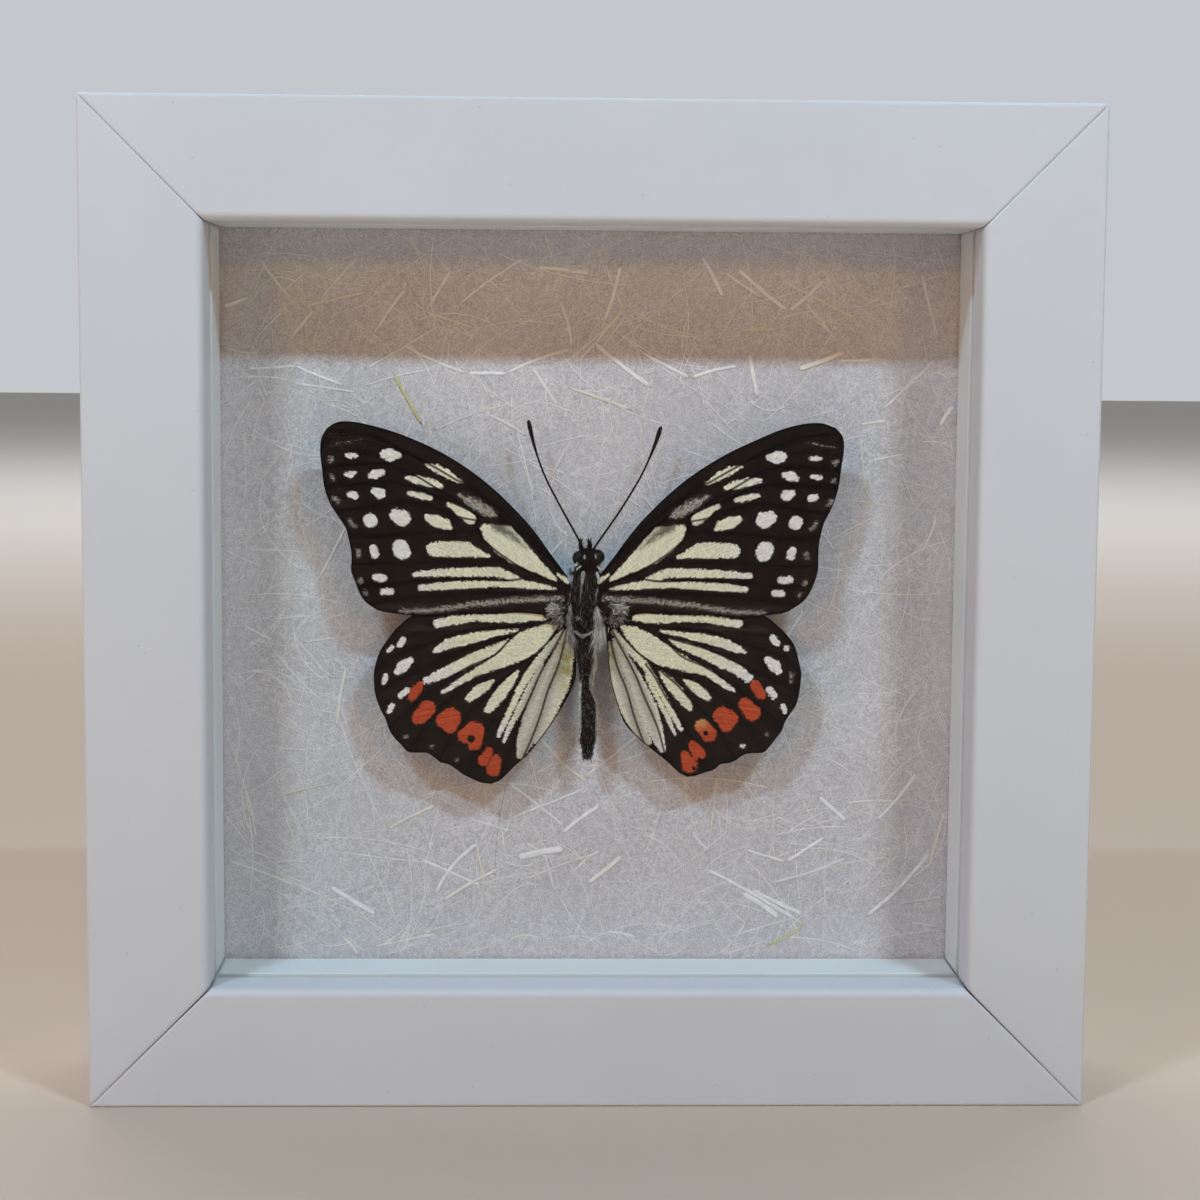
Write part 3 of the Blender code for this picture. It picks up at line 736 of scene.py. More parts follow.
# Places on a wing are millimetres: outward from the line between the two wings, and up from the
# middle of the thorax. A stroke is a row of (outward, up, half width).
forewing = {
    "rows": 210,
    "cols": 190,
    "hinge": 3.1,  # how far the wing's root stands out from where outward is measured
    "front": nodeBox("forewing_left")[0][1],
    "creams": {"near": (0.88, 0.86, 0.64), "far": (0.93, 0.88, 0.83), "fold": (0.70, 0.67, 0.57),
               "dust": (0.60, 0.54, 0.46)},
    "inner": ((2.5, -1.6), (6.0, -1.6), (10.0, -1.3), (18.0, -1.4), (25.0, -1.8), (30.2, -1.3),
              (31.9, -0.9)),
    "base": ((2.7, 4.3), (1.9, 1.5), (2.5, -1.6)),
    "spots": (
        ((36.4, 22.7, 0.2), (35.7, 22.7, 0.4), (35, 22.7, 0.25)),
        ((30.6, 23, 0.7), (29.8, 22.8, 0.95), (28.6, 22.8, 0.45)),
        ((36.6, 19.8, 0.25), (36, 19.8, 0.45), (35.2, 20.1, 0.2)),
        ((32.9, 19.6, 0.3), (32, 20, 0.7), (31, 20.2, 0.4)),
        ((35.9, 16.8, 0.4), (35.2, 16.6, 0.55)),
        ((32.2, 17.4, 0.45), (31.4, 17, 0.8)),
        ((32.9, 12.9, 0.95), (32.8, 12.8, 0.95)),
        ((29, 13.7, 0.9), (28, 13.2, 1.2)),
        ((32.4, 8.5, 0.55), (32.1, 7.6, 0.55)),
        ((28.3, 8.7, 1.2), (28, 8.1, 1.2)),
        ((32, 4.1, 0.5), (30.9, 4, 0.55)),
        ((30.9, 1.9, 0.45), (29.8, 2, 0.45)),
        ((24.4, 21.4, 0.2), (22.7, 20.8, 0.55), (20.8, 19.8, 0.55), (19, 18.7, 0.15)),
        ((27.2, 19.3, 0.25), (25.5, 19, 0.6), (23.3, 18.5, 0.6), (22, 18.1, 0.25)),
        ((27, 17, 0.25), (25.6, 16.7, 0.45), (23.8, 16.3, 0.35)),
        ((21.1, 15.4, 0.2), (19.6, 14.6, 0.55), (18, 13.4, 0.85), (17.5, 13.1, 0.65)),
        ((24.2, 13.3, 0.45), (22.8, 12.8, 0.85), (21.4, 12.3, 0.7), (20.7, 11.7, 0.2)),
    ),
    "streaks": (
        ((15.4, 11.7, 0.65), (14.3, 11, 1.4), (12.6, 10, 2.15), (10.7, 8.3, 1.9), (8.3, 6.5, 1.2),
         (6.1, 5, 0.65), (4.5, 3.8, 0.15)),
        ((23.3, 8.5, 1), (20.8, 8.5, 1.15), (18.3, 8.5, 1.15), (16.8, 8, 0.7), (14.8, 7.5, 0.15)),
        ((26, 4.6, 0.35), (21.4, 4.9, 0.55), (16.7, 5, 0.65), (13.3, 5, 0.7), (11.4, 4.3, 0.55),
         (9.7, 3.6, 0.3)),
        ((25.3, 2.5, 0.35), (22, 2.8, 0.55), (16.7, 3.1, 0.5), (13.3, 3.2, 0.4), (9.2, 3.1, 0.55),
         (6.7, 2.8, 0.4), (4.6, 2.4, 0.15)),
        ((4.2, 4.7, 0.15), (3.3, 4, 0.3), (2.6, 3.5, 0.15)),
    ),
    "dusted": (
        ((19.3, 16.8, 0.4), (17.3, 15.6, 0.85), (15.2, 14.4, 0.9), (14, 13.7, 0.45)),
        ((38.5, 24.4, 0), (36, 24.9, 0.06), (33.8, 25.2, 0)),
        ((38.8, 22.1, 0.4), (38.7, 22, 0.4)),
        ((38.6, 19.4, 0.4), (38.5, 19.3, 0.4)),
        ((38.3, 16.2, 0.4), (37.7, 15.6, 0.35)),
        ((36, 12.8, 0.4), (35.4, 12.1, 0.4)),
        ((34.6, 8.2, 0.4), (34.6, 7.5, 0.4)),
        ((34.4, 3.6, 0.4), (34.3, 3.5, 0.4)),
        ((33.6, 1.7, 0.35), (33.5, 1.6, 0.35)),
        ((28.3, -1.1, 0.3), (24.5, -1, 0.4), (20.8, -0.6, 0.45), (17.4, 0, 0.45), (13.9, 0.3, 0.5),
         (10.2, 0.7, 0.5), (6.4, 0.9, 0.5), (3.6, 1, 0.4)),
    ),
    "veil": (((14.9, 12.7, 0.5), (13.4, 12.1, 1.3), (11.2, 10.6, 0.9), (9.0, 8.6, 0.5)),),
    "band": (
        ((38.9, 25.9, 0.2), (36.0, 26.5, 0.4), (32.0, 25.6, 0.1)),
        ((39.6, 23.9, 0.2), (36.5, 24.7, 0.4), (32.5, 24.2, 0.1)),
        ((39.4, 21.4, 0.2), (37.6, 21.2, 0.3), (34.0, 21.4, 0.1)),
        ((4.6, 5.3, 0.05), (9.6, 11.4, 0.12), (16.2, 17.0, 0.15), (23.0, 21.6, 0.1)),
        ((6.0, 8.0, 0.05), (11.0, 14.0, 0.12), (18.0, 19.8, 0.15), (26.0, 24.0, 0.1)),
        ((33.0, -0.4, 0.4), (26.0, -0.6, 0.8), (16.0, 0.2, 0.5)),
    ),
    "veins": (
        ((2.1, 4), (10.5, 12.6), (17.4, 17.6), (25.8, 22.5), (32.9, 25.8), (38.5, 26.4)),
        ((2.1, 3.9), (12.1, 12.9), (16.5, 14.4), (21.8, 17.2), (29.2, 21.2), (36.9, 21.2), (39.9, 20.8)),
        ((16.5, 13.8), (21.8, 16.3), (28.6, 18.7), (33.8, 18.4), (39.7, 17.9)),
        ((16.4, 12.9), (19.6, 13.5), (25.8, 15.6), (30.8, 15.3), (35.4, 14.6), (38.5, 14.3)),
        ((16.1, 11.3), (20.2, 11.3), (25.8, 11), (31.4, 10.4), (36, 10.3)),
        ((12.1, 7.3), (15.2, 6.6), (21.4, 6.6), (27.6, 6.4), (32.3, 6.2), (35.7, 6.2)),
        ((7.4, 4.5), (12.1, 3.7), (18.3, 4), (25.8, 3.6), (30.8, 3), (35, 3.1)),
        ((2.7, 2.5), (8.9, 1.8), (16.7, 1.8), (24.5, 1.2), (30.2, 0.6), (32.9, 0)),
        ((2.7, 2.9), (7.4, 4.5), (12.1, 7.1), (16.1, 10.5), (16.6, 12.6), (16.5, 13.8)),
    ),
}

forewingLeft = {
    "leading": ((2.7, 4.3), (5.0, 7.4), (9.2, 12.9), (15.1, 18.6), (21.4, 22.9), (28.0, 25.9),
                (33.5, 27.5), (36.6, 27.9), (38.2, 27.6), (39.4, 26.8)),
    "margin": ((39.4, 26.8), (40.2, 25.3), (40.4, 23.1), (40.1, 20.3), (39.8, 17.9), (39.0, 15.5),
               (37.7, 13.4), (36.6, 11.7), (36.2, 10.2), (35.9, 8.9), (35.7, 7.2), (35.8, 5.2),
               (35.2, 3.5), (34.6, 1.8), (33.6, 0.3), (31.9, -0.9)),
}
forewingRight = {
    "leading": ((2.7, 4.3), (5.0, 7.4), (9.2, 12.9), (15.1, 18.6), (21.4, 22.9), (28.0, 26.1),
                (31.1, 27.3), (34.0, 28.0), (36.5, 28.1), (38.7, 27.4)),
    "margin": ((38.7, 27.4), (39.8, 26.0), (40.0, 24.0), (39.7, 21.6), (39.4, 19.0), (38.9, 16.8),
               (38.0, 14.5), (37.2, 12.9), (36.8, 11.4), (36.5, 9.8), (36.4, 7.6), (36.4, 5.7),
               (36.0, 4.0), (35.3, 2.3), (34.2, 0.7), (31.9, -0.9)),
}

hindwing = {
    "rows": 190,
    "cols": 190,
    "hinge": 2.9,
    "front": nodeBox("hindwing_left")[0][1],
    "creams": {"near": (0.88, 0.85, 0.62), "far": (0.94, 0.89, 0.86), "fold": (0.72, 0.68, 0.58),
               "dust": (0.66, 0.60, 0.54)},
    "base": ((3.4, -0.6), (2.7, -2.4), (3.1, -4.3)),
    "band": (((27.5, -3.6, 0.8), (22.0, -3.7, 0.5), (15.0, -3.3, 0.3)),),
    "veins": (
        ((6.5, -2.9), (11, -3.4), (14.8, -3.6), (19.9, -4.3), (24.8, -6.2), (30.3, -7.9), (32.5, -9.8)),
        ((11.2, -4.7), (14.7, -5.7), (18.5, -6.8), (22.7, -8.6), (27.2, -10.8), (32.4, -13.1)),
        ((12.4, -5.7), (14.7, -8), (18.5, -9.7), (22.7, -12.4), (26.7, -15.5), (30.3, -19)),
        ((10.5, -9.2), (14.2, -10.8), (17.1, -11.9), (20.4, -13.8), (23.7, -17.1), (27.7, -23.1)),
        ((11.4, -10.2), (14.2, -12.6), (16.4, -15), (19.7, -18.3), (23.4, -24.5)),
        ((9.1, -9.2), (10.5, -11.1), (12.4, -14.5), (14.7, -17.8), (17.5, -23.1), (18.7, -27.2)),
        ((3.7, -3.7), (7.2, -10.2), (9, -14.4), (11.1, -19.2), (12.3, -23.5), (13.7, -27.6)),
        ((3.4, -4.2), (4.6, -9.2), (6.2, -13.2), (7.4, -17.3), (8.8, -21.1), (10, -23.8)),
        ((4.4, -2.9), (5.6, -4.9), (7.9, -7.4), (10.5, -9.2)),
        ((3.7, -3.1), (5.1, -3.0), (6.5, -2.9)),
    ),
    "grey": ((9.4, -24.0, 2.2), (8.4, -17.0, 2.8), (5.6, -10.0, 2.6), (3.6, -5.0, 2.0)),
}

hindwingLeft = {
    "leading": ((3.4, -0.6), (8.0, 0.9), (14.0, 1.4), (21.0, 1.0), (27.0, -1.7), (29.7, -3.9)),
    "margin": ((29.7, -3.9), (31.1, -5.8), (32.0, -7.2), (32.6, -8.8), (33.0, -10.6), (33.0, -12.4),
               (32.8, -14.2), (32.0, -16.4), (31.2, -17.9), (30.8, -19.2), (30.0, -20.6),
               (28.8, -21.9), (27.9, -22.9), (26.6, -23.1), (25.0, -23.1), (23.9, -23.7),
               (22.8, -24.6), (21.6, -24.9), (20.5, -25.6), (19.3, -26.5), (17.9, -27.2),
               (16.5, -27.8), (14.9, -28.0)),
    "inner": ((3.1, -4.3), (2.3, -6.4), (1.9, -9.0), (2.1, -12.0), (3.9, -15.8), (6.1, -19.3),
              (9.1, -23.2), (11.3, -25.2), (13.4, -27.3), (14.9, -28.0)),
    "spots": (
        ((29.1, -6.3, 0.4), (28.5, -5.6, 0.45)),
        ((30.8, -7.2, 0.25), (30.2, -6.7, 0.25)),
        ((29.3, -10.4, 0.5), (28.5, -9.6, 0.85), (27.3, -8.7, 0.4)),
        ((31.4, -12.2, 0.35), (31.2, -11.2, 0.4)),
        ((28.9, -14.2, 0.4), (27.9, -13.4, 0.45)),
        ((30.7, -16.7, 0.35), (30.3, -15.8, 0.35)),
    ),
    "streaks": (
        ((23.2, -3, 0.65), (20.9, -2.5, 0.65), (17.3, -2.1, 0.45), (13.8, -2.2, 0.55), (11, -2, 0.8),
         (8.9, -1.7, 0.8), (7.5, -2, 0.45), (6.8, -2.2, 0.15)),
        ((23.7, -7.3, 0.3), (21.8, -6.2, 0.7), (19.4, -5.6, 0.8), (16.6, -4.9, 0.6), (13.8, -4.4, 0.35),
         (11, -4, 0.1)),
        ((25, -11.9, 0.45), (22.7, -10.9, 0.75), (19.9, -9.5, 0.8), (17.1, -8.1, 0.8), (14.5, -6.9, 0.6),
         (13.1, -6, 0.35), (12.4, -5.6, 0.1)),
        ((22.4, -13.6, 0.2), (19.9, -12.1, 0.4), (17.6, -10.7, 0.5), (15, -9.4, 0.85), (13.1, -8.5, 1.2),
         (11.4, -7.3, 1.75), (9.6, -6.1, 1.95), (7.7, -5, 1.6), (6.2, -3.7, 0.9), (5, -3.3, 0.3)),
        ((18.4, -14.6, 0.5), (17.1, -13.5, 0.8), (15.7, -12.6, 0.6), (14.7, -11.9, 0.15)),
        ((15.5, -16.4, 0.5), (14.4, -15, 0.8), (13.1, -13.3, 0.85), (11.8, -11.6, 0.6),
         (10.9, -10.4, 0.15)),
        ((13.8, -20.3, 0.3), (12.9, -18.3, 0.4), (11.8, -15.9, 0.4), (10.5, -13, 0.45), (9.1, -10.6, 0.55),
         (7.4, -8.3, 0.5), (5.6, -6.1, 0.4), (3.9, -4.3, 0.2)),
        ((13, -21.2, 0.2), (12.2, -19.2, 0.3), (11.2, -17.2, 0.35), (10, -14.9, 0.35), (8.8, -12.3, 0.3),
         (7.2, -9.7, 0.25)),
        ((10.4, -23.4, 0.45), (9.7, -21.1, 1.1), (8.8, -18.3, 1.25), (7.9, -15.4, 1.15), (6.9, -12.5, 0.95),
         (6, -10.2, 0.7), (4.6, -7.3, 0.4), (3.7, -5.1, 0.2)),
        ((7.8, -21.2, 0.4), (6.7, -18.5, 0.9), (5.5, -15.6, 1.05), (4.3, -12.8, 1.2), (3.6, -9.9, 1.15),
         (3.3, -7.3, 0.95), (3.2, -5.1, 0.5)),
    ),
    "dusted": (((28.3, -20.6, 0.3), (28.2, -20.6, 0.3)), ((24.2, -22.1, 0.3), (24.1, -22.1, 0.3)),
               ((20.2, -24.2, 0.25), (20.1, -24.2, 0.25))),
    "red": (
        ((27.1, -14.3, 0.6), (26.3, -13.1, 0.75), (25.9, -12.4, 0.4)),
        ((26.1, -17.6, 1), (24.8, -16.2, 1.2)),
        ((22.2, -18.1, 1.2), (21.1, -17.6, 1.45), (21.3, -19, 1)),
        ((18.9, -20.4, 1.15), (17.6, -19.7, 1.45), (17.5, -21.6, 1.05)),
        ((15.3, -22.8, 0.55), (16.1, -24.3, 0.85)),
        ((14.2, -24.1, 0.65), (14.6, -25.7, 1.05)),
    ),
    "pupil": (((18.1, -20.9, 0.6), (18.0, -20.9, 0.6)),),
    "stains": ((3.4, -8.6, 2.6), (5.0, -20.5, 1.4)),
}

hindwingRight = {
    "leading": ((3.4, -0.6), (8.0, 0.9), (14.0, 1.4), (21.0, 1.0), (27.2, -1.5), (30.0, -3.6)),
    "margin": ((30.0, -3.6), (31.7, -5.5), (32.4, -7.1), (32.8, -8.7), (33.2, -10.4), (33.1, -12.2),
               (32.9, -13.8), (32.5, -15.4), (31.6, -16.8), (30.8, -18.1), (30.3, -19.5),
               (29.4, -20.7), (28.5, -21.9), (27.4, -22.9), (25.7, -23.0), (24.4, -23.3),
               (23.3, -24.1), (22.2, -24.6), (20.9, -24.8), (19.8, -25.7), (18.5, -26.1),
               (17.1, -26.6), (15.7, -26.8)),
    "inner": ((3.1, -4.3), (3.2, -7.1), (3.5, -10.2), (4.1, -13.3), (5.8, -18.2), (8.2, -20.9),
              (10.3, -22.6), (12.3, -24.2), (14.3, -26.0), (15.7, -26.8)),
    "spots": (
        ((28.7, -5.1, 0.5), (29.4, -5.8, 0.45)),
        ((30.9, -6.6, 0.35), (30.8, -6.6, 0.35)),
        ((28.1, -8.5, 0.55), (29.1, -9.4, 0.85), (29.6, -10.2, 0.45)),
        ((28.3, -13.1, 0.5), (29, -14, 0.5)),
        ((30.5, -15.7, 0.4), (30.8, -16.5, 0.3)),
        ((24.3, -21.9, 0.3), (24.2, -21.9, 0.3)),
    ),
    "streaks": (
        ((7.3, -2, 0.3), (9, -2, 0.75), (12, -2.2, 0.55), (15.4, -2.1, 0.4), (18.9, -2.2, 0.5),
         (21.3, -2.6, 0.55), (23.4, -2.8, 0.55)),
        ((11.4, -4, 0.1), (14.9, -4.6, 0.35), (18.9, -5.3, 0.65), (21.5, -6, 0.7), (23.4, -6.8, 0.55),
         (24.4, -7.2, 0.2)),
        ((12.8, -5.4, 0.2), (14.9, -6.3, 0.55), (17.8, -7.4, 0.7), (20.6, -8.7, 0.8), (23.3, -10, 0.75),
         (25, -11.3, 0.65)),
        ((5.6, -3.4, 0.35), (7.1, -4.5, 1.15), (9, -6, 1.7), (11.2, -7.5, 1.7), (13.5, -8.5, 1.35),
         (15.9, -9.5, 0.9), (18.5, -10.3, 0.55), (20.9, -12, 0.45), (22.8, -13.3, 0.2)),
        ((15.2, -11.7, 0.2), (16.4, -12.5, 0.65), (17.8, -13.5, 0.7), (18.8, -14.4, 0.4)),
        ((11.4, -10.4, 0.2), (12.6, -11.8, 0.65), (14, -13.4, 0.8), (15.3, -15, 0.7), (16, -16, 0.35)),
        ((4.2, -4.2, 0.15), (6.7, -7, 0.4), (8.8, -9.1, 0.5), (10.2, -11.3, 0.45), (11.7, -13.9, 0.4),
         (13.1, -16.5, 0.4), (14.7, -19.4, 0.25)),
        ((9.3, -11, 0.25), (10.5, -13.4, 0.3), (11.7, -15.8, 0.3), (12.9, -18.2, 0.3), (13.8, -20.2, 0.15)),
        ((4.4, -5.6, 0.25), (5.7, -8.4, 0.7), (7.2, -11.3, 1.05), (8.6, -14.2, 1.3), (9.8, -17, 1.3),
         (11, -19.9, 1), (11.9, -22.5, 0.4)),
        ((3.6, -6.3, 0.35), (4.2, -9.2, 0.65), (4.8, -12, 1), (6, -14.9, 1.2), (7.2, -17.5, 1.1),
         (8.4, -19.6, 0.75), (9.6, -21.3, 0.3)),
    ),
    "dusted": (((31.7, -10.6, 0.3), (31.5, -11.7, 0.3)), ((28, -20.2, 0.25), (27.9, -20.2, 0.25))),
    "red": (
        ((26.1, -12.5, 0.75), (27, -13.8, 0.7)),
        ((24.6, -15.4, 1), (25.7, -16.7, 1.2)),
        ((21, -17.1, 1.3), (22, -17.7, 1.4), (21.7, -18.6, 1.05)),
        ((17.9, -18.8, 1), (19, -20.1, 1.15)),
        ((16.6, -21.8, 0.65), (17.5, -23.2, 1)),
        ((15.4, -23.5, 0.65), (16.1, -24.9, 1.15)),
    ),
    "pupil": (((18.6, -20, 0.4), (18.5, -19.9, 0.4)), ((17.7, -24.1, 0.3), (17.6, -24.0, 0.3)),
              ((16.8, -25.5, 0.3), (16.7, -25.4, 0.3))),
    "stains": ((3.8, -8.0, 1.5),),
    "ochre": (17.7, -18.0, 1.2),
}


def strokeDepth(x, z, strokes):
    # How deep each place lies inside the nearest stroke, in millimetres: for each piece between
    # two stroke points, the half width where the place falls, less its distance from the line.
    best = np.full(x.shape, -9.0)
    for stroke in strokes:
        stroke = np.array(stroke, float)
        for (ax, az, ar), (bx, bz, br) in zip(stroke, stroke[1:]):
            dx, dz = bx - ax, bz - az
            t = np.clip(((x - ax) * dx + (z - az) * dz) / (dx * dx + dz * dz + 1e-9), 0, 1)
            away = np.hypot(x - ax - t * dx, z - az - t * dz)
            best = np.maximum(best, ar + t * (br - ar) - away)
    return best


def lineDistance(x, z, courses, count=24):
    # Millimetres from each place to the nearest of the smoothed courses.
    lines = [[(*point, 0.0) for point in smoothCourse(course, count)] for course in courses]
    return -strokeDepth(x, z, lines)


def wingPatch(wing):
    # Points between four edges: the two ruled surfaces added, less the bilinear one (Coons).
    leading, inner = (smoothCourse(wing[key], wing["rows"])[:, None] for key in ("leading", "inner"))
    base, margin = (smoothCourse(wing[key], wing["cols"])[None] for key in ("base", "margin"))
    v = np.linspace(0, 1, wing["rows"])[:, None, None]
    u = np.linspace(0, 1, wing["cols"])[None, :, None]
    ruled = (1 - u) * leading + u * inner + (1 - v) * base + v * margin
    corners = ((1 - v) * ((1 - u) * base[:, :1] + u * base[:, -1:])
               + v * ((1 - u) * margin[:, :1] + u * margin[:, -1:]))
    return ruled - corners, u[..., 0] + 0 * v[..., 0], v[..., 0] + 0 * u[..., 0]


def buildWing(kind, sideName, wing, look, lean):
    # A closed shell: the patch once in front and once behind, which meet along all four edges.
    node = kind + "_" + sideName
    low, high = nodeBox(node)
    way = 1 if sideName == "right" else -1
    middleX = (low[0] if way > 0 else high[0]) - way * wing["hinge"] * mm
    patch, u, v = wingPatch(wing)
    x, z = patch[..., 0], patch[..., 1]
    vein = lineDistance(x, z, wing["veins"])
    rim = lineDistance(x, z, [wing[key] for key in ("leading", "margin", "inner")], 60)
    thickness = wingFilm * np.clip(rim / 0.4, 0, 1) * np.clip(v / 0.02, 0, 1)
    ridge = veinRidge * np.exp(-(vein / 0.16) ** 2) * np.clip(rim / 0.5, 0, 1)
    folds = 0.10 * mm * ripple(x, z, 11.0, 4 if way > 0 else 3) * np.clip(v * 3, 0, 1)
    middleY = wing["front"] + wingHalf + (lean(u, v) + folds)
    worldX = middleX + way * x * mm
    worldZ = thoraxMiddle[2] + z * mm
    top = np.stack([worldX, middleY - thickness / 2 - ridge, worldZ], axis=-1)
    under = np.stack([worldX, middleY + thickness / 2, worldZ], axis=-1)

    floats = {"pale": strokeDepth(x, z, wing["spots"] + wing["streaks"]), "vein": vein, "rim": rim,
              "outward": v, "stain": np.zeros_like(x), "grey": np.zeros_like(x), "ochre": np.zeros_like(x)}
    for key in ("dusted", "red", "pupil", "veil", "band"):
        floats[key] = strokeDepth(x, z, wing.get(key, ()))
    for spotX, spotZ, size in wing.get("stains", ()):
        stretch = np.hypot((x - spotX) * 1.6, (z - spotZ) * 0.62) / size
        floats["stain"] = np.maximum(floats["stain"], np.exp(-stretch**2))
    if "grey" in wing:
        floats["grey"] = np.clip(strokeDepth(x, z, (wing["grey"],)) / 1.5 + 0.3, 0, 1)
    if "ochre" in wing:
        spotX, spotZ, size = wing["ochre"]
        floats["ochre"] = np.exp(-(np.hypot(x - spotX, z - spotZ) / size) ** 2)
    floats = {key: np.concatenate([value, value[:, ::-1]], axis=1) for key, value in floats.items()}
    uv = np.stack([u * (6 + 22 * v), v * 36], axis=-1)
    uv = np.concatenate([uv, uv[:, ::-1]], axis=1)
    points = np.concatenate([top, under[:, ::-1]], axis=1)
    quads = gridQuads(*points.shape[:2], wrap=True)
    addPiece(kind + sideName.title(), points, quads, look, floats, uv, node)


def forewingLean(u, v):
    # Rises a little towards the tip and sags between its edges.
    return -0.9 * mm * v**2 * (1 - 0.6 * u) + 0.42 * mm * u**4 * np.clip(v * 4, 0, 1)


def hindwingLean(u, v):
    # Falls back along the inner margin, where the wing wraps towards the abdomen.
    return 0.9 * mm * np.clip(u - 0.55, 0, 1) ** 2 / 0.2 * (1 - 0.5 * v) - 0.30 * mm


def buildWings():
    foreLook = wingScales("forewingScales", forewing["creams"])
    hindLook = wingScales("hindwingScales", hindwing["creams"])
    sides = (("left", forewingLeft, hindwingLeft), ("right", forewingRight, hindwingRight))
    for sideName, fore, hind in sides:
        buildWing("forewing", sideName, {**forewing, **fore}, foreLook, forewingLean)
        buildWing("hindwing", sideName, {**hindwing, **hind}, hindLook, hindwingLean)
    print("wings: four scaled shells")


# Millimetres from the middle of the frame at the depth of the thorax: across, back, up.
body = {
    # Stations of a lofted form: middle (across, back, up), half width, half depth.
    "thorax": (
        (-0.65, -0.2, 5.3, 0.0, 0.0), (-0.65, -0.2, 5.2, 1.2, 0.8), (-0.64, -0.2, 4.7, 1.95, 1.4),
        (-0.72, -0.2, 3.0, 2.25, 1.9), (-0.86, -0.1, 0.5, 2.30, 2.1), (-0.97, 0.0, -1.6, 2.10, 2.0),
        (-0.98, 0.1, -3.6, 1.85, 1.6), (-0.96, 0.2, -4.6, 1.45, 1.1), (-0.95, 0.2, -5.1, 0.8, 0.6),
        (-0.95, 0.2, -5.2, 0.0, 0.0),
    ),
    "abdomen": (
        (-0.85, 0.3, -4.2, 0.0, 0.0), (-0.85, 0.3, -4.3, 0.9, 0.9), (-0.83, 0.3, -5.4, 1.40, 1.4),
        (-0.66, 0.3, -7.6, 1.33, 1.4), (-0.73, 0.3, -9.7, 0.98, 1.2), (-0.71, 0.4, -11.8, 0.66, 0.9),
        (-0.59, 0.4, -13.3, 0.60, 0.8), (-0.30, 0.4, -14.6, 0.86, 0.9), (-0.04, 0.4, -16.0, 1.06, 1.0),
        (-0.05, 0.4, -18.7, 1.07, 1.05), (-0.14, 0.4, -20.8, 1.13, 1.1), (-0.20, 0.4, -21.7, 1.12, 1.05),
        (-0.21, 0.4, -22.6, 0.90, 0.9), (-0.24, 0.4, -23.5, 0.77, 0.75), (-0.35, 0.4, -24.15, 0.55, 0.5),
        (-0.38, 0.4, -24.42, 0.25, 0.25), (-0.38, 0.4, -24.46, 0.0, 0.0),
    ),
    "head": (
        (-0.36, -0.4, 8.55, 0.0, 0.0), (-0.36, -0.4, 8.50, 0.6, 0.4), (-0.36, -0.5, 8.0, 1.25, 0.9),
        (-0.35, -0.5, 7.0, 1.75, 1.25), (-0.38, -0.4, 6.0, 1.80, 1.1), (-0.50, -0.2, 5.2, 1.95, 1.0),
        (-0.60, -0.1, 4.6, 1.5, 0.7), (-0.60, -0.1, 4.5, 0.0, 0.0),
    ),
    # Painted highlights on the head shell: two small pale patches where the inner edges of the eyes catch the
    # light, as (across, up, half width).
    "paintedGlints": (((-0.92, 7.42, 0.17), (-0.86, 7.02, 0.17)), ((0.70, 7.55, 0.15), (0.80, 7.15, 0.15))),
    "segments": 8,
    "eyes": ((-1.78, -0.55, 6.95, 0.98, 1.15), (1.12, -0.55, 7.12, 1.10, 1.22)),  # middle, radii
    "palps": (((-1.25, -0.3, 7.7, 0.30), (-1.42, -0.5, 8.5, 0.38), (-1.55, -0.7, 9.1, 0.30),
               (-1.55, -0.8, 9.7, 0.13), (-1.50, -0.8, 10.1, 0.0)),
              ((-0.15, -0.3, 7.7, 0.30), (-0.15, -0.5, 8.5, 0.40), (-0.08, -0.7, 9.1, 0.34),
               (-0.28, -0.8, 9.7, 0.14), (-0.42, -0.8, 10.1, 0.0))),
    "antennae": (((-0.95, -0.3, 8.0), (-1.75, -0.3, 9.7), (-4.5, -0.2, 14.6), (-7.0, 0.0, 19.4),
                  (-8.6, 0.2, 23.8), (-9.65, 0.3, 28.1)),
                 ((0.35, -0.3, 8.0), (1.05, -0.3, 9.2), (4.6, -0.2, 14.4), (7.7, 0.0, 19.6),
                  (9.6, 0.2, 23.9), (10.75, 0.3, 27.3))),
    "antennaRings": 46,
    "antennaGirth": ((0, 0.02, 0.04, 0.74, 0.86, 0.95, 0.985, 1),
                     (0, 0.20, 0.165, 0.1518, 0.27, 0.36, 0.288, 0)),
    "bristle": ((0.25, 0.2, -23.9), (0.34, 0.1, -24.4), (0.46, 0.1, -25.05)),
    # Pale stripes on the thorax: rows of (across, up, half width).
    "stripes": (((-1.10, 4.7, 0.36), (-1.28, 3.4, 0.26), (-1.41, 2.4, 0.20), (-1.48, 1.0, 0.13),
                 (-1.66, -1.1, 0.04)),
                ((1.05, 4.9, 0.16), (1.28, 4.0, 0.16), (1.50, 3.0, 0.07)),
                ((1.20, 2.5, 0.12), (0.86, 1.5, 0.12), (0.56, 0.5, 0.07), (0.56, -0.4, 0.03)),
                ((-1.62, -1.5, 0.05), (-1.35, -2.4, 0.12), (-1.30, -3.6, 0.05))),
    "fold": ((-0.15, -13.4, 0.05), (0.3, -14.8, 0.08), (0.35, -17.0, 0.05)),
    "seed": 7,
}

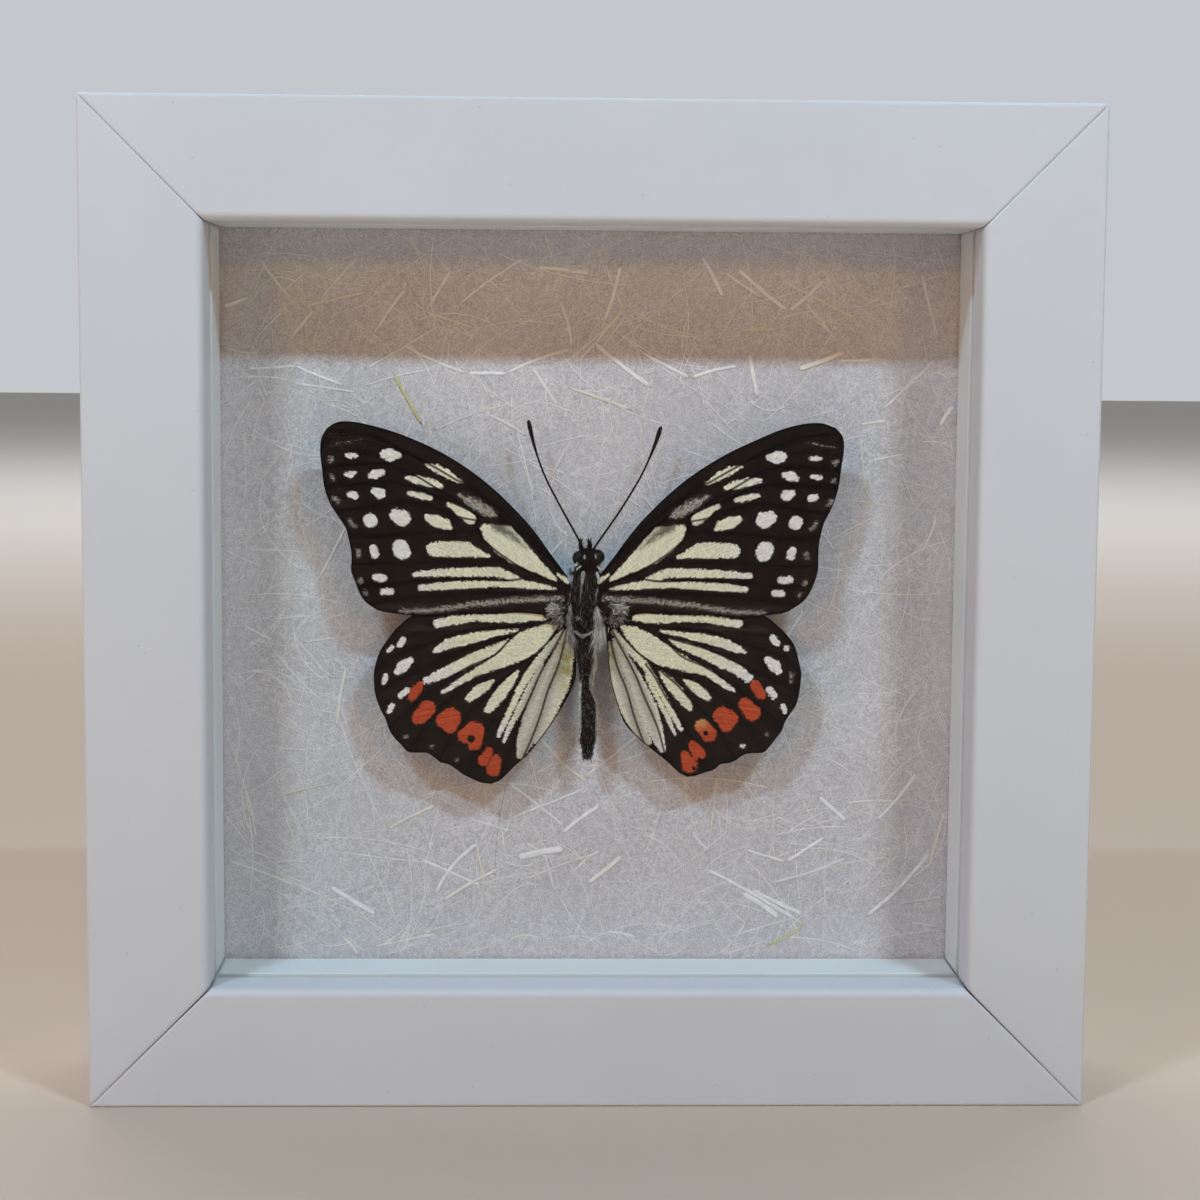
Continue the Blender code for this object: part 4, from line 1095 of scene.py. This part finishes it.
# Tufts of hair: the course that they are rooted on, their number, its spread, their length, their
# way at the course's start and end, its jitter, their shade and its spread, and their tint.
tufts = {
    "thorax": (
        (((-2.62, -0.9, 4.6), (-2.95, -0.9, 2.6), (-3.10, -0.9, 0.6)), 130, 0.09, 1.5,
         ((-0.10, -0.1, -1),), 0.08, (0.48, 0.25)),
        (((-3.12, -0.9, 0.8), (-3.20, -0.8, -1.6), (-3.12, -0.7, -4.0)), 300, 0.17, 2.0,
         ((0.0, -0.1, -1), (0.16, -0.05, -1)), 0.10, (0.46, 0.28)),
        (((-3.10, -0.7, -3.4), (-2.9, -0.6, -5.2)), 110, 0.16, 2.3,
         ((0.05, -0.05, -1), (0.28, 0.0, -1)), 0.10, (0.42, 0.25)),
        (((0.62, -1.2, 0.2), (0.80, -1.3, -0.8), (1.18, -1.2, -2.4), (1.42, -1.0, -3.6)), 330, 0.20, 1.9,
         ((0.20, -0.1, -1), (0.05, -0.1, -1)), 0.13, (0.74, 0.26)),
        (((1.45, -1.0, -3.4), (1.55, -0.9, -5.0)), 260, 0.30, 2.4,
         ((0.04, -0.1, -1), (-0.22, 0.0, -1)), 0.12, (0.88, 0.22)),
        (((1.0, -1.4, 2.4), (0.6, -1.5, 0.4)), 60, 0.08, 1.3, ((-0.25, -0.1, -1),), 0.12, (0.40, 0.25)),
        (((1.0, -1.2, 5.0), (1.35, -1.3, 3.8)), 50, 0.07, 0.9, ((0.15, -0.1, -1),), 0.06, (0.75, 0.2)),
        (((-2.7, -1.2, -4.15), (-1.5, -1.3, -4.85)), 46, 0.06, 0.9, ((0.9, -0.1, -0.5),), 0.15, (0.50, 0.2)),
        (((0.75, -1.2, -4.2), (-0.5, -1.3, -4.85)), 46, 0.06, 0.9, ((-0.9, -0.1, -0.4),), 0.15, (0.50, 0.2)),
        (((-1.2, -1.9, -0.8), (-1.7, -1.9, -2.2)), 16, 0.15, 0.7, ((-0.7, -0.2, -0.6),), 0.4, (0.45, 0.2)),
    ),
    "abdomen": (
        (((-1.2, -0.1, -13.0), (-1.38, -0.1, -15.9), (-1.28, -0.1, -19.2)), 130, 0.05, 0.55,
         ((-0.6, 0.0, -0.8),), 0.2, (0.8, 0.25), 0.5),
        (((-1.25, -0.2, -12.2), (-1.45, -0.2, -14.5)), 60, 0.08, 0.8, ((-0.3, 0, -1),), 0.2, (0.9, 0.2), 0.3),
        (((0.75, -0.2, -6.8), (0.72, -0.2, -9.2), (0.30, -0.2, -12.4)), 190, 0.15, 1.25,
         ((0.22, 0.0, -1), (-0.10, 0.0, -1)), 0.2, (0.42, 0.25), 0.35),
        (((1.0, 0.0, -15.0), (0.98, 0.0, -20.8)), 110, 0.05, 0.4, ((0.8, 0.0, -0.7),), 0.3, (0.3, 0.25), 0.6),
    ),
    "head": (
        (((-2.50, -1.0, 5.75), (-2.15, -1.2, 6.0)), 46, 0.10, 0.42, ((0.5, -0.6, 0.5),), 0.15, (0.95, 0.12)),
        (((-2.15, -1.3, 5.2), (-1.65, -1.5, 5.7)), 46, 0.06, 0.40, ((0.7, -0.3, 0.7),), 0.12, (0.90, 0.12)),
        (((1.05, -1.5, 5.85), (1.42, -1.4, 5.35)), 40, 0.06, 0.40, ((0.5, -0.4, -0.6),), 0.15, (0.90, 0.12)),
        (((1.42, -1.4, 5.35), (1.9, -1.2, 5.5)), 30, 0.06, 0.40, ((0.7, -0.4, 0.3),), 0.15, (0.85, 0.12)),
        (((1.72, -1.1, 6.2), (2.0, -1.0, 6.5)), 30, 0.09, 0.35, ((0.4, -0.6, 0.5),), 0.2, (0.80, 0.12), 0.2),
        # These two small pale tufts are painted highlights: the glints at the inner edges of the eyes, made
        # as pale hair.
        (((-0.95, -1.72, 7.50), (-0.90, -1.78, 7.15)), 60, 0.07, 0.28, ((0, -0.25, -1),), 0.1, (0.60, 0.1)),
        (((0.74, -1.55, 7.62), (0.80, -1.60, 7.25)), 50, 0.06, 0.26, ((0, -0.25, -1),), 0.1, (0.50, 0.1)),
        (((-1.4, -0.6, 8.2), (-1.52, -0.8, 9.6)), 130, 0.12, 0.55, ((-0.1, -0.4, 1),), 0.3, (0.03, 0.04)),
        (((-0.15, -0.6, 8.2), (-0.2, -0.8, 9.6)), 130, 0.13, 0.55, ((-0.1, -0.4, 1),), 0.3, (0.03, 0.04)),
        (((-2.9, -0.6, 4.9), (-1.6, -1.0, 4.9), (0.6, -1.0, 4.9), (2.0, -0.6, 4.8)), 260, 0.22, 0.8,
         ((0.0, -0.35, -1),), 0.3, (0.03, 0.05)),
    ),
}
wingRoots = {
    "middles": ((-1, -5.25), (1, 4.25)),  # way outward, across
    # Number, place, spread, way and shade of each tuft, for the side at positive X.
    "tufts": (
        (90, (0.15, -1.35, -0.75), 0.36, (0.7, -0.5, 0.1), (1.0, 0.2)),
        (120, (0.0, -1.15, -1.0), 0.55, (0.8, -0.4, -0.3), (0.35, 0.30)),
        (90, (-0.9, -1.1, -0.4), 0.42, (0.8, -0.3, -0.5), (0.20, 0.22)),
        (120, (-0.6, -0.9, -2.2), 0.50, (0.5, -0.2, -0.9), (0.28, 0.28)),
    ),
}
bodyOrigin = thoraxMiddle + np.array([0.95, 0.0, 0.2]) * mm


def bodyPlace(points):
    return bodyOrigin + np.asarray(points) * mm


def loft(stations, rings, sides, swell=None):
    # Rings across an upright course; a ring is an ellipse, and swell scales it along the way.
    course = smoothCourse(stations, rings)
    reach = course[:, 3:].clip(0)
    if swell is not None:
        reach = reach * swell(np.linspace(0, 1, rings))[:, None]
    reach[[0, -1]] = 0
    turn = np.linspace(0, 2 * np.pi, sides, endpoint=False)
    points = course[:, None, :3] + np.stack([
        reach[:, :1] * np.sin(turn), -reach[:, 1:] * np.cos(turn), np.zeros((rings, sides))
    ], axis=-1)
    return points, gridQuads(rings, sides, wrap=True)


def coat(rng, points, count, length, way, lift, shade):
    # Hair lying along way, rooted at random places on a lofted form.
    ring = rng.integers(2, points.shape[0] - 2, count)
    turn = rng.integers(0, points.shape[1], count)
    roots = points[ring, turn]
    outward = unit(roots - points[ring].mean(axis=1))
    ways = unit(np.array(way) + outward * lift + rng.normal(0, 0.25, roots.shape))
    lengths = length * rng.uniform(0.5, 1.3, count)
    shades = np.clip(rng.normal(*shade, count), 0, 1)
    return roots, ways, lengths, shades, np.zeros(count)


def tuft(rng, course, count, spread, length, way, jitter, shade, tint=0.0):
    # Hair rooted round a course and running along way, which may differ at its two ends.
    line = smoothCourse(course, 80)
    t = rng.uniform(0, 1, count)
    roots = line[(t * 79).astype(int)] + rng.normal(0, 1, (count, 3)) * (1.0, 0.45, 1.0) * spread
    first, last = np.array(way[0], float), np.array(way[-1], float)
    ways = unit(unit(first + (last - first) * t[:, None]) + rng.normal(0, jitter, (count, 3)))
    lengths = length * rng.uniform(0.5, 1.25, count)
    shades = np.clip(rng.normal(*shade, count), 0, 1)
    return roots, ways, lengths, shades, np.clip(rng.normal(tint, 0.5 * tint, count), 0, 1)


def addBodyPiece(name, points, quads, look, node=None, **floats):
    floats = {key: np.broadcast_to(values, points.shape[:-1]) for key, values in floats.items()}
    addPiece(name, bodyPlace(points), quads, look, floats, node=node)


def addHair(name, rng, groups, thickness, look):
    roots, ways, lengths, shades, tints = (np.concatenate(part) for part in zip(*groups))
    droop = rng.normal(0, 0.16, roots.shape)
    girth = thickness * rng.uniform(0.7, 1.3, len(roots))
    points, quads = hairs(roots, ways, lengths, girth, droop)
    addBodyPiece(name, points, quads, look, shade=shades[:, None, None], tint=tints[:, None, None])


def segmented(t):
    # Each segment of the abdomen swells and then steps in over the next one.
    phase = (t * body["segments"]) % 1.0
    return 1.0 + 0.055 * (phase - 0.5) - 0.05 * np.exp(-(np.minimum(phase, 1 - phase) / 0.06) ** 2)


def buildHead(cuticle, horn):
    head, quads = loft(body["head"], 90, 90)
    # On the head the shade attribute holds only the painted highlights, kept to its front half.
    shade = np.clip(strokeDepth(head[..., 0], head[..., 2], body["paintedGlints"]) * 4.0 + 0.3, 0, 0.62)
    addBodyPiece("headShell", head, quads, cuticle, "head", shade=shade * (head[..., 1] < -0.6))
    eyeLook = compoundEye()
    turn = np.linspace(0, 2 * np.pi, 64, endpoint=False)
    tilt = np.linspace(0, np.pi, 40)[:, None]
    s = np.linspace(0, 1, 300)
    girth = np.interp(s, *body["antennaGirth"])
    ringed = np.cos(2 * np.pi * s * body["antennaRings"])
    for index, sideName in enumerate(("Left", "Right")):
        x, y, z, wide, tall = body["eyes"][index]
        dome = np.stack([
            x + wide * np.sin(tilt) * np.sin(turn), y - wide * np.sin(tilt) * np.cos(turn),
            z + tall * np.cos(tilt) + 0 * turn,
        ], axis=-1)
        addBodyPiece("eye" + sideName, dome, gridQuads(40, 64, wrap=True), eyeLook)
        course = smoothCourse(body["palps"][index], 40)
        points, quads = tubes(course[None, :, :3], course[None, :, 3].clip(0), 20)
        addBodyPiece("palp" + sideName, points, quads, cuticle, shade=0.0)
        course = smoothCourse(body["antennae"][index], 300)
        points, quads = tubes(course[None], (girth * (1 + 0.05 * ringed))[None], 12)
        addBodyPiece("antenna" + sideName, points, quads, horn, "antenna_" + sideName.lower(),
                     shade=(0.5 + 0.5 * ringed)[None, :, None])
    return head


def buildBody():
    cuticle = dryCuticle("bodyCuticle", (0.0080, 0.0042, 0.0033), (0.34, 0.325, 0.29), 0.62)
    horn = dryCuticle("antennaHorn", (0.006, 0.005, 0.005), (0.020, 0.015, 0.012), 0.42)
    thorax, quads = loft(body["thorax"], 90, 96)
    shade = strokeDepth(thorax[..., 0], thorax[..., 2], body["stripes"]) * 3.0 + 0.4
    shade = np.clip(shade, 0, 1) * (thorax[..., 1] < 0.4)
    addBodyPiece("thoraxShell", thorax, quads, cuticle, "thorax", shade=shade)
    abdomen, quads = loft(body["abdomen"], 260, 72, segmented)
    fold = strokeDepth(abdomen[..., 0], abdomen[..., 2], (body["fold"],))
    shade = np.clip(0.5 + fold * 3, 0, 1) * 0.5 * (abdomen[..., 1] < 0.4)
    addBodyPiece("abdomenShell", abdomen, quads, cuticle, "abdomen", shade=shade)
    head = buildHead(cuticle, horn)
    bristle = smoothCourse(body["bristle"], 12)
    girth = np.interp(np.linspace(0, 1, 12), [0, 0.1, 0.8, 1], [0, 0.06, 0.05, 0])
    points, quads = tubes(bristle[None], girth[None], 8)
    addBodyPiece("tailBristle", points, quads, horn, shade=1.0)

    fur = bodyFur()
    down = (0.0, -0.1, -1.0)
    rng = np.random.default_rng(body["seed"])
    groups = [coat(rng, thorax, 1500, 0.75, down, 0.22, (0.05, 0.06))]
    groups += [tuft(rng, *row) for row in tufts["thorax"]]
    addHair("thoraxFur", rng, groups, 0.075, fur)
    groups = []
    for way, middle in wingRoots["middles"]:
        for count, (across, back, up), spread, aim, shade in wingRoots["tufts"]:
            place = np.array([middle + way * across, back, up])
            course = (place - (0.5, 0, 0), place + (0.5, 0, 0))
            aim = ((way * aim[0], *aim[1:]),)
            groups.append(tuft(rng, course, count, spread, 1.1, aim, 0.42, shade, 0.15))
    addHair("wingRootFur", rng, groups, 0.09, fur)
    groups = [coat(rng, abdomen, 1300, 0.5, down, 0.3, (0.06, 0.09))]
    groups += [tuft(rng, *row) for row in tufts["abdomen"]]
    addHair("abdomenFringe", rng, groups, 0.075, fur)
    groups = [coat(rng, head, 420, 0.35, (0.0, -0.6, 0.3), 0.6, (0.03, 0.05))]
    groups += [tuft(rng, *row) for row in tufts["head"]]
    addHair("headHair", rng, groups, 0.055, fur)
    print("body: shells, eyes, palps, antennae and hair")


stage = {
    "floorSize": 16.0,
    "floorColour": (0.64, 0.51, 0.40),
    "farColour": (0.93, 0.90, 0.86),
    "keyRise": 50.8,  # degrees above level, to both sides of the middle
    "keyDistance": 0.56,
    "keyAside": 0.25,
    "keySize": (0.09, 0.024),
    "keyPower": (1.45, 1.56),
    "keyColour": (0.55, 0.80, 1.0),
    "warmPlace": (0.50, -0.92, 0.325),  # from the middle of the front face, and mirrored
    "warmSize": (0.13, 0.08),
    "warmPower": (0.88, 0.90),
    "warmColour": (1.0, 0.58, 0.18),
    "sidePlace": (0.85, -0.5, 0.25),
    "sideSize": (0.6, 0.9),
    "sidePower": (1.4, 0.30),
    "sideColour": (1.0, 0.38, 0.30),
    "backPlace": (0.0, 1.3, 1.5),  # over the floor behind
    "backSize": (2.2, 1.2),
    "backPower": 16.0,
    "frontSky": (0.050, 0.028, 0.015),
    "backSky": (0.55, 0.575, 0.61),
}
view = {
    "distance": 0.351,
    "aside": -0.0097,
    "rise": 0.0365,
    "aim": (0.0011, 0.0019),  # across and up from the middle of the front face
    "roll": 0.45,
    "lens": 71.6,
}


def addLamp(name, place, target, size, power, colour):
    lamp = bpy.data.lights.new(name, "AREA")
    lamp.shape = "RECTANGLE"
    lamp.size, lamp.size_y = size
    lamp.energy = power
    lamp.color = colour
    piece = bpy.data.objects.new(name, lamp)
    bpy.context.scene.collection.objects.link(piece)
    piece.location = place
    piece.rotation_euler = (Vector(target) - Vector(place)).to_track_quat("-Z", "Y").to_euler()


def buildStage():
    half = stage["floorSize"] / 2
    corners = np.array([[-half, -half, 0], [half, -half, 0], [half, half, 0], [-half, half, 0]])
    mesh = bpy.data.meshes.new("floor")
    mesh.from_pydata(corners.tolist(), [], [(0, 1, 2, 3)])
    look = Look("paleFloor")
    place = look.place()
    away = look.add("VectorMath", {"operation": "LENGTH"}, {0: place}, output=1)
    near = look.blend(look.noise(place, 3.0) * 0.15, stage["floorColour"], stage["farColour"])
    pale = look.blend(look.ramp(away, 0.25, 1.6), near, stage["farColour"])
    mesh.materials.append(look.finish(baseColor=pale, roughness=0.95, specularLevel=0.1))
    floor = bpy.data.objects.new("floor", mesh)
    bpy.context.scene.collection.objects.link(floor)

    middle = (0.0, frontY, middleZ)
    rise = math.radians(stage["keyRise"])
    reach = stage["keyDistance"]
    for name, way, power in zip(("Left", "Right"), (-1, 1), stage["keyPower"]):
        target = np.array(middle) + (way * stage["keyAside"], 0, 0)
        place = target + (0, -reach * math.cos(rise), reach * math.sin(rise))
        addLamp("key" + name, place, target, stage["keySize"], power, stage["keyColour"])
    for kind in ("warm", "side"):
        across, back, up = stage[kind + "Place"]
        for name, way, power in zip(("Left", "Right"), (-1, 1), stage[kind + "Power"]):
            place = np.array(middle) + (way * across, back, up)
            addLamp(kind + name, place, middle, stage[kind + "Size"], power, stage[kind + "Colour"])
    addLamp("backLamp", stage["backPlace"], (0, 1.1, 0), stage["backSize"], stage["backPower"], (1, 1, 1))
    world = bpy.data.worlds.new("paleSky")
    bpy.context.scene.world = world
    world.use_nodes = True
    # The sky's light changes from the front half to the back half by direction. The backdrop that
    # the camera sees is the back sky's colour all round.
    tree = world.node_tree
    place = tree.nodes.new("ShaderNodeTexCoord")
    split = tree.nodes.new("ShaderNodeSeparateXYZ")
    share = tree.nodes.new("ShaderNodeMapRange")
    share.inputs["From Min"].default_value = 0.0
    share.inputs["From Max"].default_value = 0.35
    mix = tree.nodes.new("ShaderNodeMix")
    mix.data_type = "RGBA"
    mix.inputs[6].default_value = (*stage["frontSky"], 1.0)
    mix.inputs[7].default_value = (*stage["backSky"], 1.0)
    path = tree.nodes.new("ShaderNodeLightPath")
    either = tree.nodes.new("ShaderNodeMath")
    either.operation = "MAXIMUM"
    for start, end in (
        (place.outputs["Generated"], split.inputs[0]),
        (split.outputs["Y"], share.inputs["Value"]),
        (share.outputs[0], either.inputs[0]),
        (path.outputs["Is Camera Ray"], either.inputs[1]),
        (either.outputs[0], mix.inputs[0]),
        (mix.outputs[2], tree.nodes["Background"].inputs["Color"]),
    ):
        tree.links.new(start, end)
    bpy.context.scene.view_settings.view_transform = "Standard"


def buildCamera():
    lens = bpy.data.cameras.new("camera")
    lens.lens = view["lens"]
    lens.sensor_width = 36.0
    lens.clip_start = 0.01
    piece = bpy.data.objects.new("camera", lens)
    bpy.context.scene.collection.objects.link(piece)
    place = Vector((view["aside"], frontY - view["distance"], middleZ + view["rise"]))
    aim = Vector((view["aim"][0], frontY, middleZ + view["aim"][1]))
    turned = (aim - place).to_track_quat("-Z", "Y")
    piece.rotation_mode = "QUATERNION"
    piece.rotation_quaternion = turned @ Quaternion((0, 0, 1), math.radians(view["roll"]))
    piece.location = place
    bpy.context.scene.camera = piece


buildFrame()
buildPaper()
buildBack()
buildWings()
buildBody()
buildStage()
buildCamera()
